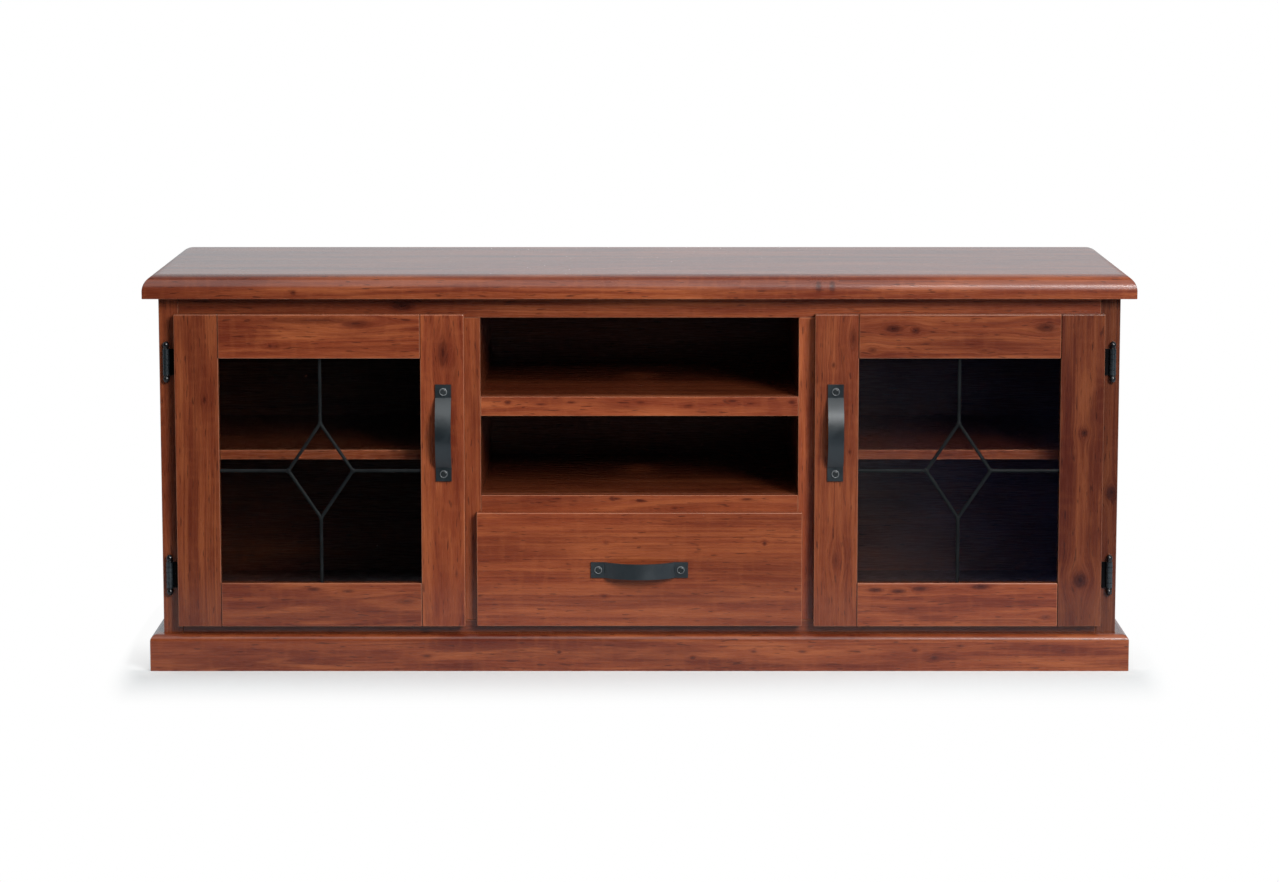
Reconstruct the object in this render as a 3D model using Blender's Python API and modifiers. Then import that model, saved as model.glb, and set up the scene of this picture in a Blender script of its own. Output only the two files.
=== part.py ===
"""TV unit in stained pine: leadlight doors left and right, open bays and a drawer between them.

Metres, +Z up, front towards -Y. The origin is on the floor, at the middle of the overall
width and of the overall depth with the pulls. Depths are first measured back from the front
face of the top, and ``at_depth`` turns them into world Y.
"""

import math

import bmesh
import bpy
from mathutils import Matrix, Vector

# Overall sizes, without the pulls
WIDTH = 1.530
DEPTH = 0.480
HEIGHT = 0.620

# Gap between pieces that touch, and the easing of sawn edges
GAP = 0.0003
ARRIS = 0.0006

# Top
TOP_THICKNESS = 0.037
TOP_ROUND = 0.0255
TOP_SIDE_OVERHANG = 0.0225
TOP_FRONT_OVERHANG = 0.025

# Carcass boards
SIDE_THICKNESS = 0.020
PARTITION_THICKNESS = 0.018
SHELF_THICKNESS = 0.018
INNER_SHELF_THICKNESS = 0.015
INNER_SHELF_RISE = 0.2625
INNER_SHELF_SETBACK = 0.020
DOWEL_RADIUS = 0.003
DOWEL_LENGTH = 0.010
DOWEL_SUNK = 0.004
DOWEL_INSET = 0.060
BACK_THICKNESS = 0.006
BACK_RECESS = 0.002
BACK_REBATE_WIDTH = 0.010
CABLE_HOLE_RADIUS = 0.025
UPPER_CABLE_HOLE_DROP = 0.0285
LOWER_CABLE_HOLE_DROP = 0.0142

# Face frame
FRAME_THICKNESS = 0.020
STILE_WIDTH = 0.030
MULLION_WIDTH = 0.030
TOP_RAIL_HEIGHT = 0.031
BOTTOM_RAIL_LIFT = 0.0175
SHELF_RAIL_HEIGHT = 0.030
BAY_WIDTH = 0.4926
UPPER_BAY_HEIGHT = 0.1233
LOWER_BAY_HEIGHT = 0.1242

# Plinth, and how far the face frame's openings stand above it
PLINTH_HEIGHT = 0.057
PLINTH_THICKNESS = 0.0195
PLINTH_ROUND = 0.010
PLINTH_REVEAL = 0.0205

# Doors
DOOR_THICKNESS = 0.020
DOOR_OUTER_OVERLAP = 0.0045
DOOR_INNER_OVERLAP = 0.0057
DOOR_TOP_OVERLAP = 0.007
FRONT_BOTTOM_OVERLAP = 0.006
DOOR_STILE_WIDTH = 0.0675
DOOR_RAIL_HEIGHT = 0.068
DOOR_EASE = 0.0010
TENON_LENGTH = 0.020
TENON_THICKNESS = 0.007
TENON_SHOULDER = 0.012

# Glass, its bead and its lead
GLASS_THICKNESS = 0.004
GLASS_REBATE_WIDTH = 0.009
GLASS_LIP = 0.008
BEAD_RECESS = 0.0002
CAME_WIDTH = 0.0052
CAME_THICKNESS = 0.0020
CAME_ROUND = 0.0006
DIAMOND_WIDTH = 0.0998
DIAMOND_HEIGHT = 0.1477

# Hinges
BARREL_RADIUS = 0.0052
BARREL_OFFSET = 0.0142
HINGE_HEIGHT = 0.041
HINGE_TOP_INSET = 0.0755
HINGE_BOTTOM_INSET = 0.0780
LEAF_THICKNESS = 0.001
LEAF_GAP = 0.0004
FRAME_LEAF_MARGIN = 0.001
DOOR_LEAF_REACH = 0.021
KNUCKLE_COUNT = 5
PIN_RADIUS = 0.0018
FINIAL_RADIUS = 0.0050
FINIAL_NECK = 0.0038
FINIAL_COLLAR = 0.0006
FINIAL_NECK_RISE = 0.0011
FINIAL_LENGTH = 0.0115

# Bow pulls
PULL_CENTRES = 0.128
PULL_END = 0.0113
PULL_HEEL = 0.0102
PULL_WIDTH = 0.0244
PULL_THICKNESS = 0.0028
PULL_REACH = 0.0245
PULL_EASE = 0.0006
SCREW_RADIUS = 0.0060
SCREW_DOME = 0.0026
SCREW_DIMPLE_RADIUS = 0.0028
SCREW_DIMPLE_DEPTH = 0.0016
DOOR_PULL_DROP = 0.1834
DOOR_PULL_SHIFT = 0.0017

# Drawer
DRAWER_FRONT_THICKNESS = 0.020
DRAWER_SIDE_OVERLAP = 0.0062
DRAWER_TOP_OVERLAP = 0.0052
DRAWER_SEAT = 0.0005
DRAWER_SIDE_THICKNESS = 0.015
DRAWER_SIDE_CLEARANCE = 0.003
DRAWER_TOP_CLEARANCE = 0.035
DRAWER_FLOOR_CLEARANCE = 0.012
DRAWER_REAR_CLEARANCE = 0.047
DRAWER_BACK_THICKNESS = 0.012
DRAWER_SHEET_THICKNESS = 0.005
DRAWER_SHEET_RISE = 0.010
DRAWER_SHEET_BITE = 0.005
RUNNER_HEIGHT = 0.016
RUNNER_BITE = 0.007
RUNNER_CLEARANCE = 0.0006
RUNNER_REAR_INSET = 0.020

# Catches
CATCH_LENGTH = 0.046
CATCH_HEIGHT = 0.012
CATCH_DEPTH = 0.016
CATCH_INSET = 0.030

# How far a cutter runs past what it cuts, and how near two points are one
OVERSHOOT = 0.010
TOUCH = 0.00001

# Places worked out from the sizes above
HALF_TOP = WIDTH / 2
HALF_CARCASS = HALF_TOP - TOP_SIDE_OVERHANG
HALF_INSIDE = HALF_CARCASS - SIDE_THICKNESS
HALF_BAY = BAY_WIDTH / 2
MULLION_OUTER = HALF_BAY + MULLION_WIDTH
PARTITION_OUTER = HALF_BAY + PARTITION_THICKNESS
STILE_INNER = HALF_CARCASS - STILE_WIDTH

TOP_UNDERSIDE = HEIGHT - TOP_THICKNESS
CARCASS_TOP = TOP_UNDERSIDE - GAP
OPENING_TOP = TOP_UNDERSIDE - TOP_RAIL_HEIGHT
UPPER_SHELF_TOP = OPENING_TOP - UPPER_BAY_HEIGHT
LOWER_SHELF_TOP = UPPER_SHELF_TOP - SHELF_RAIL_HEIGHT - LOWER_BAY_HEIGHT
DRAWER_OPENING_TOP = LOWER_SHELF_TOP - SHELF_RAIL_HEIGHT
OPENING_BOTTOM = PLINTH_HEIGHT + PLINTH_REVEAL
INNER_SHELF_TOP = OPENING_BOTTOM + INNER_SHELF_RISE

FRAME_FRONT = TOP_FRONT_OVERHANG
FRAME_BACK = FRAME_FRONT + FRAME_THICKNESS
BOARD_FRONT = FRAME_BACK + GAP
BACK_FACE = DEPTH - BACK_THICKNESS - BACK_RECESS
BOARD_BACK = BACK_FACE - GAP

DOOR_STANDOFF = 2 * (GAP + LEAF_THICKNESS) + LEAF_GAP
DOOR_BACK = FRAME_FRONT - DOOR_STANDOFF
DOOR_FRONT = DOOR_BACK - DOOR_THICKNESS
DOOR_INNER = MULLION_OUTER - DOOR_INNER_OVERLAP
DOOR_OUTER = STILE_INNER + DOOR_OUTER_OVERLAP
DOOR_BOTTOM = OPENING_BOTTOM - FRONT_BOTTOM_OVERLAP
DOOR_TOP = OPENING_TOP + DOOR_TOP_OVERLAP
PANE_INNER = DOOR_INNER + DOOR_STILE_WIDTH
PANE_OUTER = DOOR_OUTER - DOOR_STILE_WIDTH
PANE_BOTTOM = DOOR_BOTTOM + DOOR_RAIL_HEIGHT
PANE_TOP = DOOR_TOP - DOOR_RAIL_HEIGHT
PANE_CENTRE = ((PANE_INNER + PANE_OUTER) / 2, (PANE_BOTTOM + PANE_TOP) / 2)
REBATE_X = (PANE_INNER - GLASS_REBATE_WIDTH, PANE_OUTER + GLASS_REBATE_WIDTH)
REBATE_Z = (PANE_BOTTOM - GLASS_REBATE_WIDTH, PANE_TOP + GLASS_REBATE_WIDTH)
GLASS_FRONT = DOOR_FRONT + GLASS_LIP + GAP
GLASS_BACK = GLASS_FRONT + GLASS_THICKNESS
BEAD_FRONT = GLASS_BACK + GAP
BEAD_BACK = DOOR_BACK - BEAD_RECESS

HINGE_X = DOOR_OUTER + BARREL_OFFSET
HINGE_DEPTH = FRAME_FRONT - GAP - BARREL_RADIUS
PULL_LENGTH = PULL_CENTRES + 2 * PULL_END
FRONT_REACH = PULL_REACH + GAP - DOOR_FRONT

DRAWER_FRONT_BACK = FRAME_FRONT - DRAWER_SEAT
DRAWER_FRONT_FACE = DRAWER_FRONT_BACK - DRAWER_FRONT_THICKNESS
DRAWER_FRONT_TOP = DRAWER_OPENING_TOP + DRAWER_TOP_OVERLAP
DRAWER_BOX_HALF = HALF_BAY - DRAWER_SIDE_CLEARANCE
DRAWER_BOX_FRONT = DRAWER_FRONT_BACK + GAP
DRAWER_BOX_BACK = BOARD_BACK - DRAWER_REAR_CLEARANCE
DRAWER_BOX_BOTTOM = OPENING_BOTTOM + DRAWER_FLOOR_CLEARANCE
DRAWER_BOX_TOP = DRAWER_OPENING_TOP - DRAWER_TOP_CLEARANCE
DRAWER_INSIDE_HALF = DRAWER_BOX_HALF - DRAWER_SIDE_THICKNESS
RUNNER_BOTTOM = (DRAWER_BOX_BOTTOM + DRAWER_BOX_TOP - RUNNER_HEIGHT) / 2

# Colours from the photo, as linear red, green and blue
PINE = (0.220, 0.052, 0.021)
PINE_SHADE = (0.130, 0.028, 0.014)
PLY = (0.150, 0.050, 0.025)
IRON = (0.024, 0.032, 0.036)
LEAD = (0.060, 0.066, 0.070)
GLASS = (0.030, 0.028, 0.034)
CATCH = (0.030, 0.020, 0.016)

SIDES = (("left", -1), ("right", 1))
UP = Vector((0, 0, 1))


def at_depth(depth):
    """World Y of a depth measured back from the front face of the top."""
    return depth + (FRONT_REACH - DEPTH) / 2


# Scene, materials and helpers


def clear_scene():
    for item in list(bpy.data.objects):
        bpy.data.objects.remove(item, do_unlink=True)


def new_collection(name):
    made = bpy.data.collections.new(name)
    bpy.context.scene.collection.children.link(made)
    return made


def principled(name, colour, roughness, metallic=0.0, alpha=1.0):
    material = bpy.data.materials.new(name)
    material.use_nodes = True
    shader = material.node_tree.nodes["Principled BSDF"]
    shader.inputs["Base Color"].default_value = (*colour, 1.0)
    shader.inputs["Roughness"].default_value = roughness
    shader.inputs["Metallic"].default_value = metallic
    shader.inputs["Alpha"].default_value = alpha
    material.diffuse_color = (*colour, alpha)
    material.roughness = roughness
    material.metallic = metallic
    return material


def add_piece(name, data, finish):
    item = bpy.data.objects.new(name, data)
    parts.objects.link(item)
    item.data.materials.append(finish)
    return item


def add_helper(name, data):
    """A cutter or another tool of a Boolean, kept out of the render."""
    item = bpy.data.objects.new(name, data)
    cutters.objects.link(item)
    item.hide_render = True
    item.display_type = "WIRE"
    return item


def joint_empty(name, place):
    """An empty on a joint's axis, which carries the pieces that move with it."""
    holder = bpy.data.objects.new(name, None)
    holder.empty_display_size = 0.05
    holder.location = place
    parts.objects.link(holder)
    bpy.context.view_layer.update()
    return holder


def parent_to(item, holder):
    item.parent = holder
    item.matrix_parent_inverse = holder.matrix_world.inverted()


def soften(item, degrees=35):
    """Smooth shading between faces that meet at less than this angle."""
    item.data.shade_smooth()
    item.data.set_sharp_from_angle(angle=math.radians(degrees))


def combine(item, tool, operation):
    modifier = item.modifiers.new(tool.name, "BOOLEAN")
    modifier.operation = operation
    modifier.solver = "EXACT"
    modifier.object = tool


def cut(item, tool):
    combine(item, tool, "DIFFERENCE")


def join(item, tool):
    combine(item, tool, "UNION")


# Shapes


def box_mesh(name, size):
    mesh = bpy.data.meshes.new(name)
    work = bmesh.new()
    bmesh.ops.create_cube(work, size=1.0)
    bmesh.ops.scale(work, vec=size, verts=work.verts)
    work.to_mesh(mesh)
    work.free()
    return mesh


def box_place(x, depth, z):
    """Size and centre of a box from its limits: across, back from the top's face, and up."""
    limits = (sorted(x), sorted(at_depth(value) for value in depth), sorted(z))
    size = Vector([high - low for low, high in limits])
    centre = Vector([(low + high) / 2 for low, high in limits])
    return size, centre


def board(name, x, depth, z, finish, ease=ARRIS, segments=1):
    """A rectangular board with eased edges."""
    size, centre = box_place(x, depth, z)
    item = add_piece(name, box_mesh(name, size), finish)
    item.location = centre
    if ease > 0:
        bevel = item.modifiers.new("ease", "BEVEL")
        bevel.width = ease
        bevel.segments = segments
        bevel.limit_method = "ANGLE"
    return item


def block(name, x, depth, z):
    """A rectangular helper for a Boolean."""
    size, centre = box_place(x, depth, z)
    item = add_helper(name, box_mesh(name, size))
    item.location = centre
    return item


def rod(name, centre, axis, radius, length, sides=12):
    """A round helper for a Boolean."""
    mesh = bpy.data.meshes.new(name)
    work = bmesh.new()
    bmesh.ops.create_cone(
        work, cap_ends=True, segments=sides, radius1=radius, radius2=radius, depth=length
    )
    work.to_mesh(mesh)
    work.free()
    item = add_helper(name, mesh)
    item.rotation_mode = "QUATERNION"
    item.rotation_quaternion = UP.rotation_difference(Vector(axis))
    item.location = centre
    soften(item)
    return item


def face_outwards(mesh):
    work = bmesh.new()
    work.from_mesh(mesh)
    bmesh.ops.remove_doubles(work, verts=work.verts, dist=TOUCH)
    bmesh.ops.recalc_face_normals(work, faces=work.faces)
    work.to_mesh(mesh)
    work.free()


def mesh_from_curve(curve, name):
    """A closed mesh of a curve, with its loose caps welded on."""
    holder = bpy.data.objects.new(name, curve)
    bpy.context.scene.collection.objects.link(holder)
    bpy.context.view_layer.update()
    evaluated = holder.evaluated_get(bpy.context.evaluated_depsgraph_get())
    mesh = bpy.data.meshes.new_from_object(evaluated)
    mesh.name = name
    bpy.data.objects.remove(holder)
    bpy.data.curves.remove(curve)
    face_outwards(mesh)
    return mesh


def flat_outline(name, loops, thickness, edge=0.0, edge_segments=1):
    """A flat plate from closed outlines; ``edge`` rounds its rims within the outline."""
    curve = bpy.data.curves.new(name, "CURVE")
    curve.dimensions = "2D"
    curve.fill_mode = "BOTH"
    curve.extrude = thickness / 2 - edge
    curve.bevel_depth = edge
    curve.bevel_resolution = edge_segments - 1
    curve.offset = -edge
    for points in loops:
        spline = curve.splines.new("POLY")
        spline.points.add(len(points) - 1)
        for place, (across, up) in zip(spline.points, points):
            place.co = (across, up, 0.0, 1.0)
        spline.use_cyclic_u = True
    return mesh_from_curve(curve, name)


def stand_up(mesh, side):
    """Turns a flat outline so that its plane faces the front, mirrored for the left side."""
    for vertex in mesh.vertices:
        across, up, through = vertex.co
        vertex.co = (side * across, through, up)
    face_outwards(mesh)


def profile_mesh(name, points):
    """A line of (radius, height) points in the XZ plane, for turning about Z."""
    mesh = bpy.data.meshes.new(name)
    work = bmesh.new()
    line = [work.verts.new((radius, 0.0, height)) for radius, height in points]
    for upper, lower in zip(line, line[1:]):
        work.edges.new((upper, lower))
    work.to_mesh(mesh)
    work.free()
    return mesh


def turn_profile(item, steps):
    """Turns a profile, drawn from the top down its outer side, into a closed round piece."""
    screw = item.modifiers.new("turn", "SCREW")
    screw.steps = steps
    screw.render_steps = steps
    screw.use_merge_vertices = True
    screw.merge_threshold = TOUCH


# Carcass


def make_top():
    """The top: a board whose front and side edges are rounded over and mitred at the corners."""
    across = (-HALF_TOP, HALF_TOP)
    top = board("top_panel", across, (0, DEPTH), (TOP_UNDERSIDE, HEIGHT), pine, ease=0)
    work = bmesh.new()
    work.from_mesh(top.data)
    rounded = []
    for edge in work.edges:
        on_top = all(vertex.co.z > 0 for vertex in edge.verts)
        at_back = all(vertex.co.y > 0 for vertex in edge.verts)
        if on_top and not at_back:
            rounded.append(edge)
    bmesh.ops.bevel(
        work, geom=rounded, offset=TOP_ROUND, segments=8, profile=0.5, affect="EDGES"
    )
    work.to_mesh(top.data)
    work.free()
    soften(top)


def dowel_depths():
    front = BOARD_FRONT + INNER_SHELF_SETBACK + DOWEL_INSET
    return (("front", front), ("rear", BOARD_BACK - DOWEL_INSET))


def add_dowels(panel, face, way):
    """The two dowels glued in a panel, which the inner shelf rests on.

    ``face`` is the X of the panel's face, and ``way`` is +1 or -1 along X, out of the panel.
    """
    height = INNER_SHELF_TOP - INNER_SHELF_THICKNESS - GAP - DOWEL_RADIUS
    length = DOWEL_LENGTH + DOWEL_SUNK
    middle = face + way * (DOWEL_LENGTH - DOWEL_SUNK) / 2
    for place, depth in dowel_depths():
        centre = (middle, at_depth(depth), height)
        join(panel, rod(f"{panel.name}_{place}_dowel", centre, (1, 0, 0), DOWEL_RADIUS, length))


def make_sides():
    for word, side in SIDES:
        panel = board(
            f"side_panel_{word}",
            (side * HALF_INSIDE, side * HALF_CARCASS),
            (BOARD_FRONT, DEPTH),
            (0, CARCASS_TOP),
            pine_shade,
        )
        rebate = block(
            f"back_rebate_{word}",
            (side * (HALF_INSIDE - OVERSHOOT), side * (HALF_INSIDE + BACK_REBATE_WIDTH)),
            (BOARD_BACK, DEPTH + OVERSHOOT),
            (-OVERSHOOT, HEIGHT),
        )
        cut(panel, rebate)
        add_dowels(panel, side * HALF_INSIDE, -side)


def make_partitions():
    for word, side in SIDES:
        panel = board(
            f"partition_{word}",
            (side * HALF_BAY, side * PARTITION_OUTER),
            (BOARD_FRONT, BOARD_BACK),
            (OPENING_BOTTOM + GAP, CARCASS_TOP),
            pine_shade,
        )
        add_dowels(panel, side * PARTITION_OUTER, side)


def make_face_frame():
    depth = (FRAME_FRONT, FRAME_BACK)
    upright = (OPENING_BOTTOM + GAP, OPENING_TOP - GAP)
    for word, side in SIDES:
        outer = (side * STILE_INNER, side * HALF_CARCASS)
        inner = (side * HALF_BAY, side * MULLION_OUTER)
        board(f"face_stile_{word}", outer, depth, (0, CARCASS_TOP), pine_shade)
        board(f"face_mullion_{word}", inner, depth, upright, pine)
    long_half = STILE_INNER - GAP
    bottom = (BOTTOM_RAIL_LIFT, OPENING_BOTTOM)
    board("face_top_rail", (-long_half, long_half), depth, (OPENING_TOP, CARCASS_TOP), pine)
    board("face_bottom_rail", (-long_half, long_half), depth, bottom, pine_shade)


def make_bay_shelves():
    """Each bay shelf is a board with a deeper rail of the face frame in front of it."""
    across = (-HALF_BAY + GAP, HALF_BAY - GAP)
    for word, top in (("upper", UPPER_SHELF_TOP), ("lower", LOWER_SHELF_TOP)):
        rail = (top - SHELF_RAIL_HEIGHT, top)
        sheet = (top - SHELF_THICKNESS, top)
        board(f"face_shelf_rail_{word}", across, (FRAME_FRONT, FRAME_BACK), rail, pine)
        board(f"av_shelf_{word}", across, (BOARD_FRONT, BOARD_BACK), sheet, pine_shade)


def make_cupboard_boards():
    floor_half = HALF_INSIDE - GAP
    floor = (OPENING_BOTTOM - SHELF_THICKNESS, OPENING_BOTTOM)
    depth = (BOARD_FRONT, BOARD_BACK)
    board("cabinet_floor", (-floor_half, floor_half), depth, floor, pine_shade)
    for word, side in SIDES:
        board(
            f"inner_shelf_{word}",
            (side * (PARTITION_OUTER + GAP), side * (HALF_INSIDE - GAP)),
            (BOARD_FRONT + INNER_SHELF_SETBACK, BOARD_BACK),
            (INNER_SHELF_TOP - INNER_SHELF_THICKNESS, INNER_SHELF_TOP),
            pine,
        )


def make_back():
    """The back lies in the side panels' rebates, with a cable hole high in each bay."""
    half = HALF_INSIDE + BACK_REBATE_WIDTH - GAP
    depth = (BACK_FACE, BACK_FACE + BACK_THICKNESS)
    height = (OPENING_BOTTOM - SHELF_THICKNESS, CARCASS_TOP)
    panel = board("back_panel", (-half, half), depth, height, ply)
    bay_roof = UPPER_SHELF_TOP - SHELF_THICKNESS
    middles = (
        ("upper", CARCASS_TOP - UPPER_CABLE_HOLE_DROP - CABLE_HOLE_RADIUS),
        ("lower", bay_roof - LOWER_CABLE_HOLE_DROP - CABLE_HOLE_RADIUS),
    )
    for word, middle in middles:
        centre = (0, at_depth(BACK_FACE + BACK_THICKNESS / 2), middle)
        length = BACK_THICKNESS + OVERSHOOT
        across = (0, 1, 0)
        hole = rod(f"cable_hole_{word}", centre, across, CABLE_HOLE_RADIUS, length, sides=24)
        cut(panel, hole)


def plinth_section():
    """The skirting's section, (out from the carcass, up), with a rounded top edge."""
    steps = 5
    points = [(0.0, 0.0), (PLINTH_THICKNESS, 0.0)]
    for step in range(steps + 1):
        angle = math.radians(90) * step / steps
        out = PLINTH_THICKNESS - PLINTH_ROUND * (1 - math.cos(angle))
        points.append((out, PLINTH_HEIGHT - PLINTH_ROUND * (1 - math.sin(angle))))
    points.append((0.0, PLINTH_HEIGHT))
    return points


def plinth_board(name, ends, mitres, place, finish):
    """A skirting board that runs between two places along the carcass.

    ``mitres`` says how far each end runs on per metre out from the carcass: 1 is a 45-degree
    mitre and 0 a square end. ``place`` turns (along, out, up) into world X, Y and Z.
    """
    length = ends[1] - ends[0]
    middle = (ends[0] + ends[1]) / 2
    mesh = flat_outline(name, [plinth_section()], length)
    for vertex in mesh.vertices:
        out, up, along = vertex.co
        run_on = mitres[1] * out if along > 0 else -mitres[0] * out
        vertex.co = place(middle + along + run_on, out, up)
    face_outwards(mesh)
    soften(add_piece(name, mesh, finish))


def make_plinth():
    """Skirting round the front and both sides, mitred at the front corners."""
    side_line = HALF_CARCASS + GAP
    front_line = FRAME_FRONT - GAP
    seam = GAP / 2

    def at_front(along, out, up):
        return (along, at_depth(front_line - out), up)

    front_ends = (-side_line + seam, side_line - seam)
    plinth_board("plinth_front", front_ends, (1, 1), at_front, pine)
    for word, side in SIDES:

        def at_side(along, out, up, side=side):
            return (side * (side_line + out), at_depth(along), up)

        side_ends = (front_line + seam, DEPTH)
        plinth_board(f"plinth_{word}", side_ends, (1, 0), at_side, pine_shade)


def make_runners():
    """Hardwood strips on the partitions, which fill the grooves in the drawer's sides."""
    reach = DRAWER_BOX_HALF - RUNNER_BITE + GAP
    for word, side in SIDES:
        board(
            f"drawer_runner_{word}",
            (side * (HALF_BAY - GAP), side * reach),
            (BOARD_FRONT, BOARD_BACK - RUNNER_REAR_INSET),
            (RUNNER_BOTTOM, RUNNER_BOTTOM + RUNNER_HEIGHT),
            pine_shade,
        )


def make_catches():
    """A catch under the top rail for each door, behind the door's own top rail."""
    inner = MULLION_OUTER + CATCH_INSET
    depth = (FRAME_FRONT, FRAME_FRONT + CATCH_DEPTH)
    height = (OPENING_TOP - GAP - CATCH_HEIGHT, OPENING_TOP - GAP)
    for word, side in SIDES:
        across = (side * inner, side * (inner + CATCH_LENGTH))
        board(f"catch_{word}", across, depth, height, catch_plastic)


# Hinges


def knuckle_spans(bottom):
    """Low and high end of each knuckle, from the bottom up, with a gap between neighbours."""
    pitch = HINGE_HEIGHT / KNUCKLE_COUNT
    lows = [bottom + number * pitch + GAP / 2 for number in range(KNUCKLE_COUNT)]
    return [(low, low + pitch - GAP) for low in lows]


def hinge_leaf(name, side, bottom, first, x, depth):
    """A leaf that carries every second knuckle from number ``first``, and is notched between."""
    leaf = board(name, x, depth, (bottom, bottom + HINGE_HEIGHT), iron, ease=0)
    axis = (side * HINGE_X, at_depth(HINGE_DEPTH))
    swept = BARREL_RADIUS + GAP
    for number, (low, high) in enumerate(knuckle_spans(bottom)):
        if number % 2 == first:
            centre = (*axis, (low + high) / 2)
            knuckle = rod(
                f"{name}_knuckle_{number}", centre, UP, BARREL_RADIUS, high - low, 16
            )
            join(leaf, knuckle)
        else:
            notch = block(
                f"{name}_notch_{number}",
                (side * (HINGE_X - swept), side * (HINGE_X + swept)),
                (HINGE_DEPTH - swept, HINGE_DEPTH + swept),
                (low - GAP, high + GAP),
            )
            cut(leaf, notch)
    centre = (*axis, bottom + HINGE_HEIGHT / 2)
    length = HINGE_HEIGHT + OVERSHOOT
    cut(leaf, rod(f"{name}_bore", centre, UP, PIN_RADIUS + GAP, length))
    return leaf


def pin_profile():
    """The upper half of a hinge pin, from the tip of its finial down to the shank."""
    seat = HINGE_HEIGHT / 2 + GAP
    collar = seat + FINIAL_COLLAR
    neck = collar + FINIAL_NECK_RISE
    tip = seat + FINIAL_LENGTH
    # The ball is cut off where it narrows to the neck, at this angle from its top.
    last = math.pi - math.asin(FINIAL_NECK / FINIAL_RADIUS)
    half_ball = (tip - neck) / (1 - math.cos(last))
    points = [(0.0, tip)]
    steps = 7
    for step in range(1, steps + 1):
        angle = last * step / steps
        height = tip - half_ball * (1 - math.cos(angle))
        points.append((FINIAL_RADIUS * math.sin(angle), height))
    points += [(FINIAL_RADIUS, collar), (FINIAL_RADIUS, seat), (PIN_RADIUS, seat)]
    return points


def hinge_pin(name, side, bottom):
    """The pin that joins two leaves, with a ball finial at each end."""
    upper = pin_profile()
    lower = [(radius, -height) for radius, height in reversed(upper)]
    pin = add_piece(name, profile_mesh(name, upper + lower), iron)
    pin.location = (side * HINGE_X, at_depth(HINGE_DEPTH), bottom + HINGE_HEIGHT / 2)
    turn_profile(pin, 12)


def make_hinges(word, side, holder):
    """Two butt hinges: frame leaf and pin stay on the stile, the other leaf is the door's.

    The leaves lie one behind the other between the door and the face frame. Each ends in the
    wall of its barrel, short of the bore.
    """
    frame_leaf_back = FRAME_FRONT - GAP
    frame_depth = (frame_leaf_back - LEAF_THICKNESS, frame_leaf_back)
    door_depth = (DOOR_BACK + GAP, DOOR_BACK + GAP + LEAF_THICKNESS)
    frame_across = (
        side * (STILE_INNER + FRAME_LEAF_MARGIN),
        side * (HINGE_X - (BARREL_RADIUS - PIN_RADIUS) / 2),
    )
    door_across = (
        side * (DOOR_OUTER - DOOR_LEAF_REACH),
        side * (HINGE_X - PIN_RADIUS),
    )
    middles = (
        ("lower", DOOR_BOTTOM + HINGE_BOTTOM_INSET),
        ("upper", DOOR_TOP - HINGE_TOP_INSET),
    )
    for level, middle in middles:
        bottom = middle - HINGE_HEIGHT / 2
        frame_leaf = f"hinge_{level}_frame_leaf_{word}"
        hinge_leaf(frame_leaf, side, bottom, 0, frame_across, frame_depth)
        door_leaf = f"hinge_{level}_door_leaf_{word}"
        parent_to(hinge_leaf(door_leaf, side, bottom, 1, door_across, door_depth), holder)
        hinge_pin(f"hinge_{level}_pin_{word}", side, bottom)


# Bow pulls


def pull_outline():
    """A pull seen side on: X along it, Y out from its seat, flat feet and an arched bow."""
    end = PULL_LENGTH / 2
    springing = PULL_CENTRES / 2 - PULL_HEEL
    rise = PULL_REACH - PULL_THICKNESS
    inner_radius = (springing**2 + rise**2) / (2 * rise)
    centre = rise - inner_radius
    outer_radius = inner_radius + PULL_THICKNESS
    inner_reach = math.asin(springing / inner_radius)
    # The outer arc comes down to the top of the feet, not to the seat.
    outer_reach = math.acos((PULL_THICKNESS - centre) / outer_radius)
    steps = 18
    inner_arc = []
    outer_arc = []
    for step in range(steps + 1):
        share = 2 * step / steps - 1
        angle = share * inner_reach
        height = centre + inner_radius * math.cos(angle)
        inner_arc.append((inner_radius * math.sin(angle), height))
        angle = -share * outer_reach
        height = centre + outer_radius * math.cos(angle)
        outer_arc.append((outer_radius * math.sin(angle), height))
    left_foot = [(-end, PULL_THICKNESS), (-end, 0.0)]
    right_foot = [(end, 0.0), (end, PULL_THICKNESS)]
    return left_foot + inner_arc + right_foot + outer_arc


def screw_profile():
    """A domed head with a round dimple, from the dimple's middle out and down into the foot."""
    steps = 5
    first = math.acos(SCREW_DIMPLE_RADIUS / SCREW_RADIUS)
    rim = SCREW_DOME * math.sin(first)
    points = [(0.0, rim - SCREW_DIMPLE_DEPTH)]
    for step in range(steps + 1):
        angle = first * (1 - step / steps)
        points.append((SCREW_RADIUS * math.cos(angle), SCREW_DOME * math.sin(angle)))
    points += [(SCREW_RADIUS, -PULL_THICKNESS / 2), (0.0, -PULL_THICKNESS / 2)]
    return points


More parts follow.
